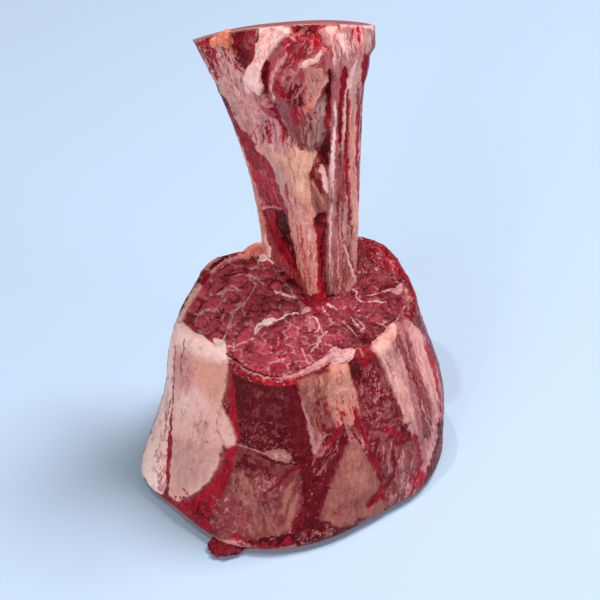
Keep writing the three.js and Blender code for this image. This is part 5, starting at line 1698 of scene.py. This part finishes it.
def make_bone():
    """The bone's wall. Returns the roof over its sawn top, and the wall's upper edge."""
    tree = tree_of("shank_bone")
    roof = Roof(tree, HEAD_MIDDLE, HEAD_REACH, crowned=True)
    height = float(roof(*SHIN_MIDDLE))
    leaving = BONE_LEAVES / height
    axis = axis_between(SHIN_MIDDLE, HEAD_MIDDLE, start=leaving)
    above = wall_of(tree, roof, axis, np.linspace(leaving, SAWN_SHARE, BONE_RINGS), BONE_RAYS)
    above = blur(above, rings=2.4, columns=3)
    above = more_rings(above, int((height - BONE_LEAVES) / BONE_STEP))
    low_rises = np.linspace(BONE_RISE, leaving, int(BONE_LEAVES / HIDDEN_STEP))
    below = wall_of(tree, roof, axis, low_rises, BONE_RAYS)[:-1]
    wall = respaced(np.concatenate([below, above]), BONE_COLUMNS, front=1.5)
    wall[len(below):] = blur(wall[len(below):], rings=1, columns=1.6)
    wall[-1, :, 2] = roof(wall[-1, :, 0], wall[-1, :, 1]) - SAWN_SINK

    rings, columns, _ = wall.shape
    points = wall.reshape(-1, 3)
    quads = ring_faces(rings, columns)
    grain, flat = wrapped(wall, SHIN_MIDDLE, BONE_GRAIN_RADIUS, wall[..., 2] / BONE_GRAIN_STRETCH)
    canvas = Canvas(points, normals_of(points, quads), grain, flat, fibrous=0.6)
    paint_bone(canvas)
    # the sawn edge stays on the saw cut
    to_top = roof(points[:, 0], points[:, 1]) - points[:, 2]
    canvas.lift *= smoothstep(0, SAWN_STILL, to_top) * (points[:, 2] > BARE_FROM)
    moved = canvas.moved()
    # the two ends close on points just inside the bone
    caps = [[*SHIN_MIDDLE, 0.2], [*HEAD_MIDDLE, float(roof(*HEAD_MIDDLE)) - 1.5]]
    foot, top = end_faces(len(points), columns)
    faces = quads.tolist() + foot + top
    build("bone_wall", "shank_bone", np.vstack([moved, caps]), faces, canvas, BONE)
    return roof, moved[-columns:]


def paint_bone_top(canvas, gap):
    """A thin hard rim round spongy, bloody bone."""
    canvas.lay("marrow", 1.0)
    pores, _, _ = cells(canvas.points[:, :2], size=1.6, seed=9)
    canvas.lay("bone", smoothstep(0.35, 0.1, pores) * 0.3)
    canvas.lay("peach", smoothstep(2.0, 1.2, gap + 0.5 * canvas.broad), tone=0.35)
    canvas.lift -= 0.3 * smoothstep(0.1, 0.5, pores) * smoothstep(2, 4, gap)


# ---- Scraps ----


SCRAP_RINGS, SCRAP_COLUMNS = 48, 72


def scrap(name, node, at, half, tissue, turn=(0, 0, 0), tone=0.0, rough=0.25, seed=0, paint=None):
    """A lump of tissue: a ball stretched to three half sizes, made uneven, turned, and put in its place."""
    up = np.linspace(-math.pi / 2, math.pi / 2, SCRAP_RINGS + 2)[1:-1]
    around = np.arange(SCRAP_COLUMNS) * 2 * math.pi / SCRAP_COLUMNS
    ball = np.stack([
        np.outer(np.cos(up), np.cos(around)), np.outer(np.cos(up), np.sin(around)),
        np.outer(np.sin(up), np.ones(SCRAP_COLUMNS)),
    ], -1).reshape(-1, 3)
    ball = np.vstack([ball, [[0, 0, -1], [0, 0, 1]]])
    swell = 1 + rough * fractal(ball * 10, size=9, seed=seed)
    spin = np.array(Euler([math.radians(t) for t in turn]).to_matrix())
    points = (ball * swell[:, None] * half) @ spin.T + at
    quads = ring_faces(SCRAP_RINGS, SCRAP_COLUMNS)
    foot, top = end_faces(SCRAP_RINGS * SCRAP_COLUMNS, SCRAP_COLUMNS)
    normals = normals_of(points, quads)
    normals[-2:] = (points[-2:] - at) / np.linalg.norm(points[-2:] - at, axis=1)[:, None]
    canvas = Canvas(points, normals, points, points[:, :2])
    canvas.lay(tissue, 1.0, tone=tone)
    if paint:
        paint(canvas)
    build(name, node, canvas.moved(), quads.tolist() + foot + top, canvas, SCRAP)


def wedge_tones(canvas):
    canvas.all_over("cream", "mottle", 0.45, strength=0.7, soft=0.25, tone=-0.2)
    canvas.all_over("sheath", "fine web", 0.2, strength=0.6, soft=0.15, tone=0.2)


def nub_tones(canvas):
    canvas.all_over("lilac", "mottle", 0.5, strength=0.6, soft=0.3, tone=0.1)
    canvas.all_over("blood", "fine web", 0.2, strength=0.5, soft=0.15)


def flap_tones(canvas):
    canvas.lay("maroon", smoothstep(-0.2, 0.4, canvas.broad) * 0.7)


def make_scraps():
    scrap("fat_bead_large", "shank_bone", at=(-34.5, 37.6, 262.5), half=(4.6, 4.2, 4.8),
          tissue="orange", tone=0.1, seed=71)
    scrap("fat_bead_small", "shank_bone", at=(-40.5, 39.5, 259.5), half=(3.2, 3, 2.8),
          tissue="orange", tone=0.3, seed=81)
    scrap("fat_wedge", "shank_meat", at=(28.5, -38, 106.5), half=(7.5, 4.6, 3.2), turn=(0, -8, 32),
          tissue="lilac", tone=0.2, rough=0.3, seed=101, paint=wedge_tones)
    scrap("sinew_nub", "shank_meat", at=(-22.5, 57, 112), half=(8.5, 6, 5), turn=(0, -14, 20),
          tissue="orange", tone=-0.2, rough=0.18, seed=111, paint=nub_tones)
    scrap("tendon_fan", "shank_meat", at=(-15, 50, 111.5), half=(9, 5.5, 3.2), turn=(8, -12, -14),
          tissue="cream", tone=-0.1, rough=0.35, seed=121)
    scrap("front_flap", "shank_meat", at=(-36.5, -83.5, 3.4), half=(11.5, 9, 2.8), turn=(6, 0, 14),
          tissue="muscle", rough=0.4, seed=91, paint=flap_tones)


# ---- Floor, light and camera ----

FLOOR_TONE = (0.46, 0.585, 0.75)
FLOOR_SIZE = 8  # metres
WORLD_LIGHT = 0.13
SENSOR_WIDTH = 36
SOFTBOXES = [
    # name, where it is and what it faces in mm, its size in mm, and watts
    ("overhead", (1150, 650, 2750), (0, 60, 100), 1100, 92),
    ("front left", (-1900, -3500, 1600), (0, 0, 130), 2400, 73),
    ("front right", (2600, -1800, 1100), (0, 0, 130), 1200, 18),
    ("sparkle", (-350, -200, 1800), (0, 0, 130), 30, 6),
    ("front sparkle", (-700, -1900, 800), (0, 0, 130), 28, 5),
]


def make_floor():
    bpy.ops.mesh.primitive_plane_add(size=FLOOR_SIZE)
    floor = bpy.context.object
    floor.name = "floor"
    material = bpy.data.materials.new("pale_floor")
    material.use_nodes = True
    shader = material.node_tree.nodes["Principled BSDF"]
    shader.inputs["Base Color"].default_value = (*FLOOR_TONE, 1)
    shader.inputs["Roughness"].default_value = 0.6
    floor.data.materials.append(material)


def make_lights():
    for name, at, to, size, power in SOFTBOXES:
        lamp = bpy.data.lights.new(name, "AREA")
        lamp.shape = "DISK"
        lamp.size = size * MM
        lamp.energy = power
        light = bpy.data.objects.new(name, lamp)
        light.location = Vector(at) * MM
        light.rotation_euler = (Vector(to) - Vector(at)).to_track_quat("-Z", "Y").to_euler()
        bpy.context.scene.collection.objects.link(light)
    world = bpy.data.worlds.new("studio")
    world.use_nodes = True
    background = world.node_tree.nodes["Background"]
    background.inputs["Color"].default_value = (1, 1, 1, 1)
    background.inputs["Strength"].default_value = WORLD_LIGHT
    bpy.context.scene.world = world
    bpy.context.scene.view_settings.view_transform = "Standard"


def make_camera():
    lens = bpy.data.cameras.new("camera")
    lens.sensor_width = SENSOR_WIDTH
    lens.lens = SENSOR_WIDTH / 2 / math.tan(PHOTO_FIELD / 2)
    camera = bpy.data.objects.new("camera", lens)
    camera.location = Vector(photo_eye) * MM
    camera.rotation_euler = Vector(photo_forward).to_track_quat("-Z", "Y").to_euler()
    bpy.context.scene.collection.objects.link(camera)
    bpy.context.scene.camera = camera


make_camera()
cut_roof, cut_edge, foot_edge = make_meat()
make_face("upper_cut", "shank_meat", CUT, cut_edge, CUT_STEP, cut_roof, RIM_MIDDLE, thickness=5,
          paint=paint_upper_cut, wander=CUT_WANDER)
make_face("lower_cut", "shank_meat", CUT, foot_edge, SOLE_STEP, lambda x, y: np.zeros_like(x),
          FOOT_MIDDLE, thickness=-0.8, paint=paint_sole, downward=True)
saw_roof, saw_edge = make_bone()
make_face("bone_top", "shank_bone", BONE, saw_edge, TOP_STEP, saw_roof, HEAD_MIDDLE, thickness=1.0,
          paint=paint_bone_top, grain=(1, 1, 1), thinned=4)
make_scraps()
make_floor()
make_lights()
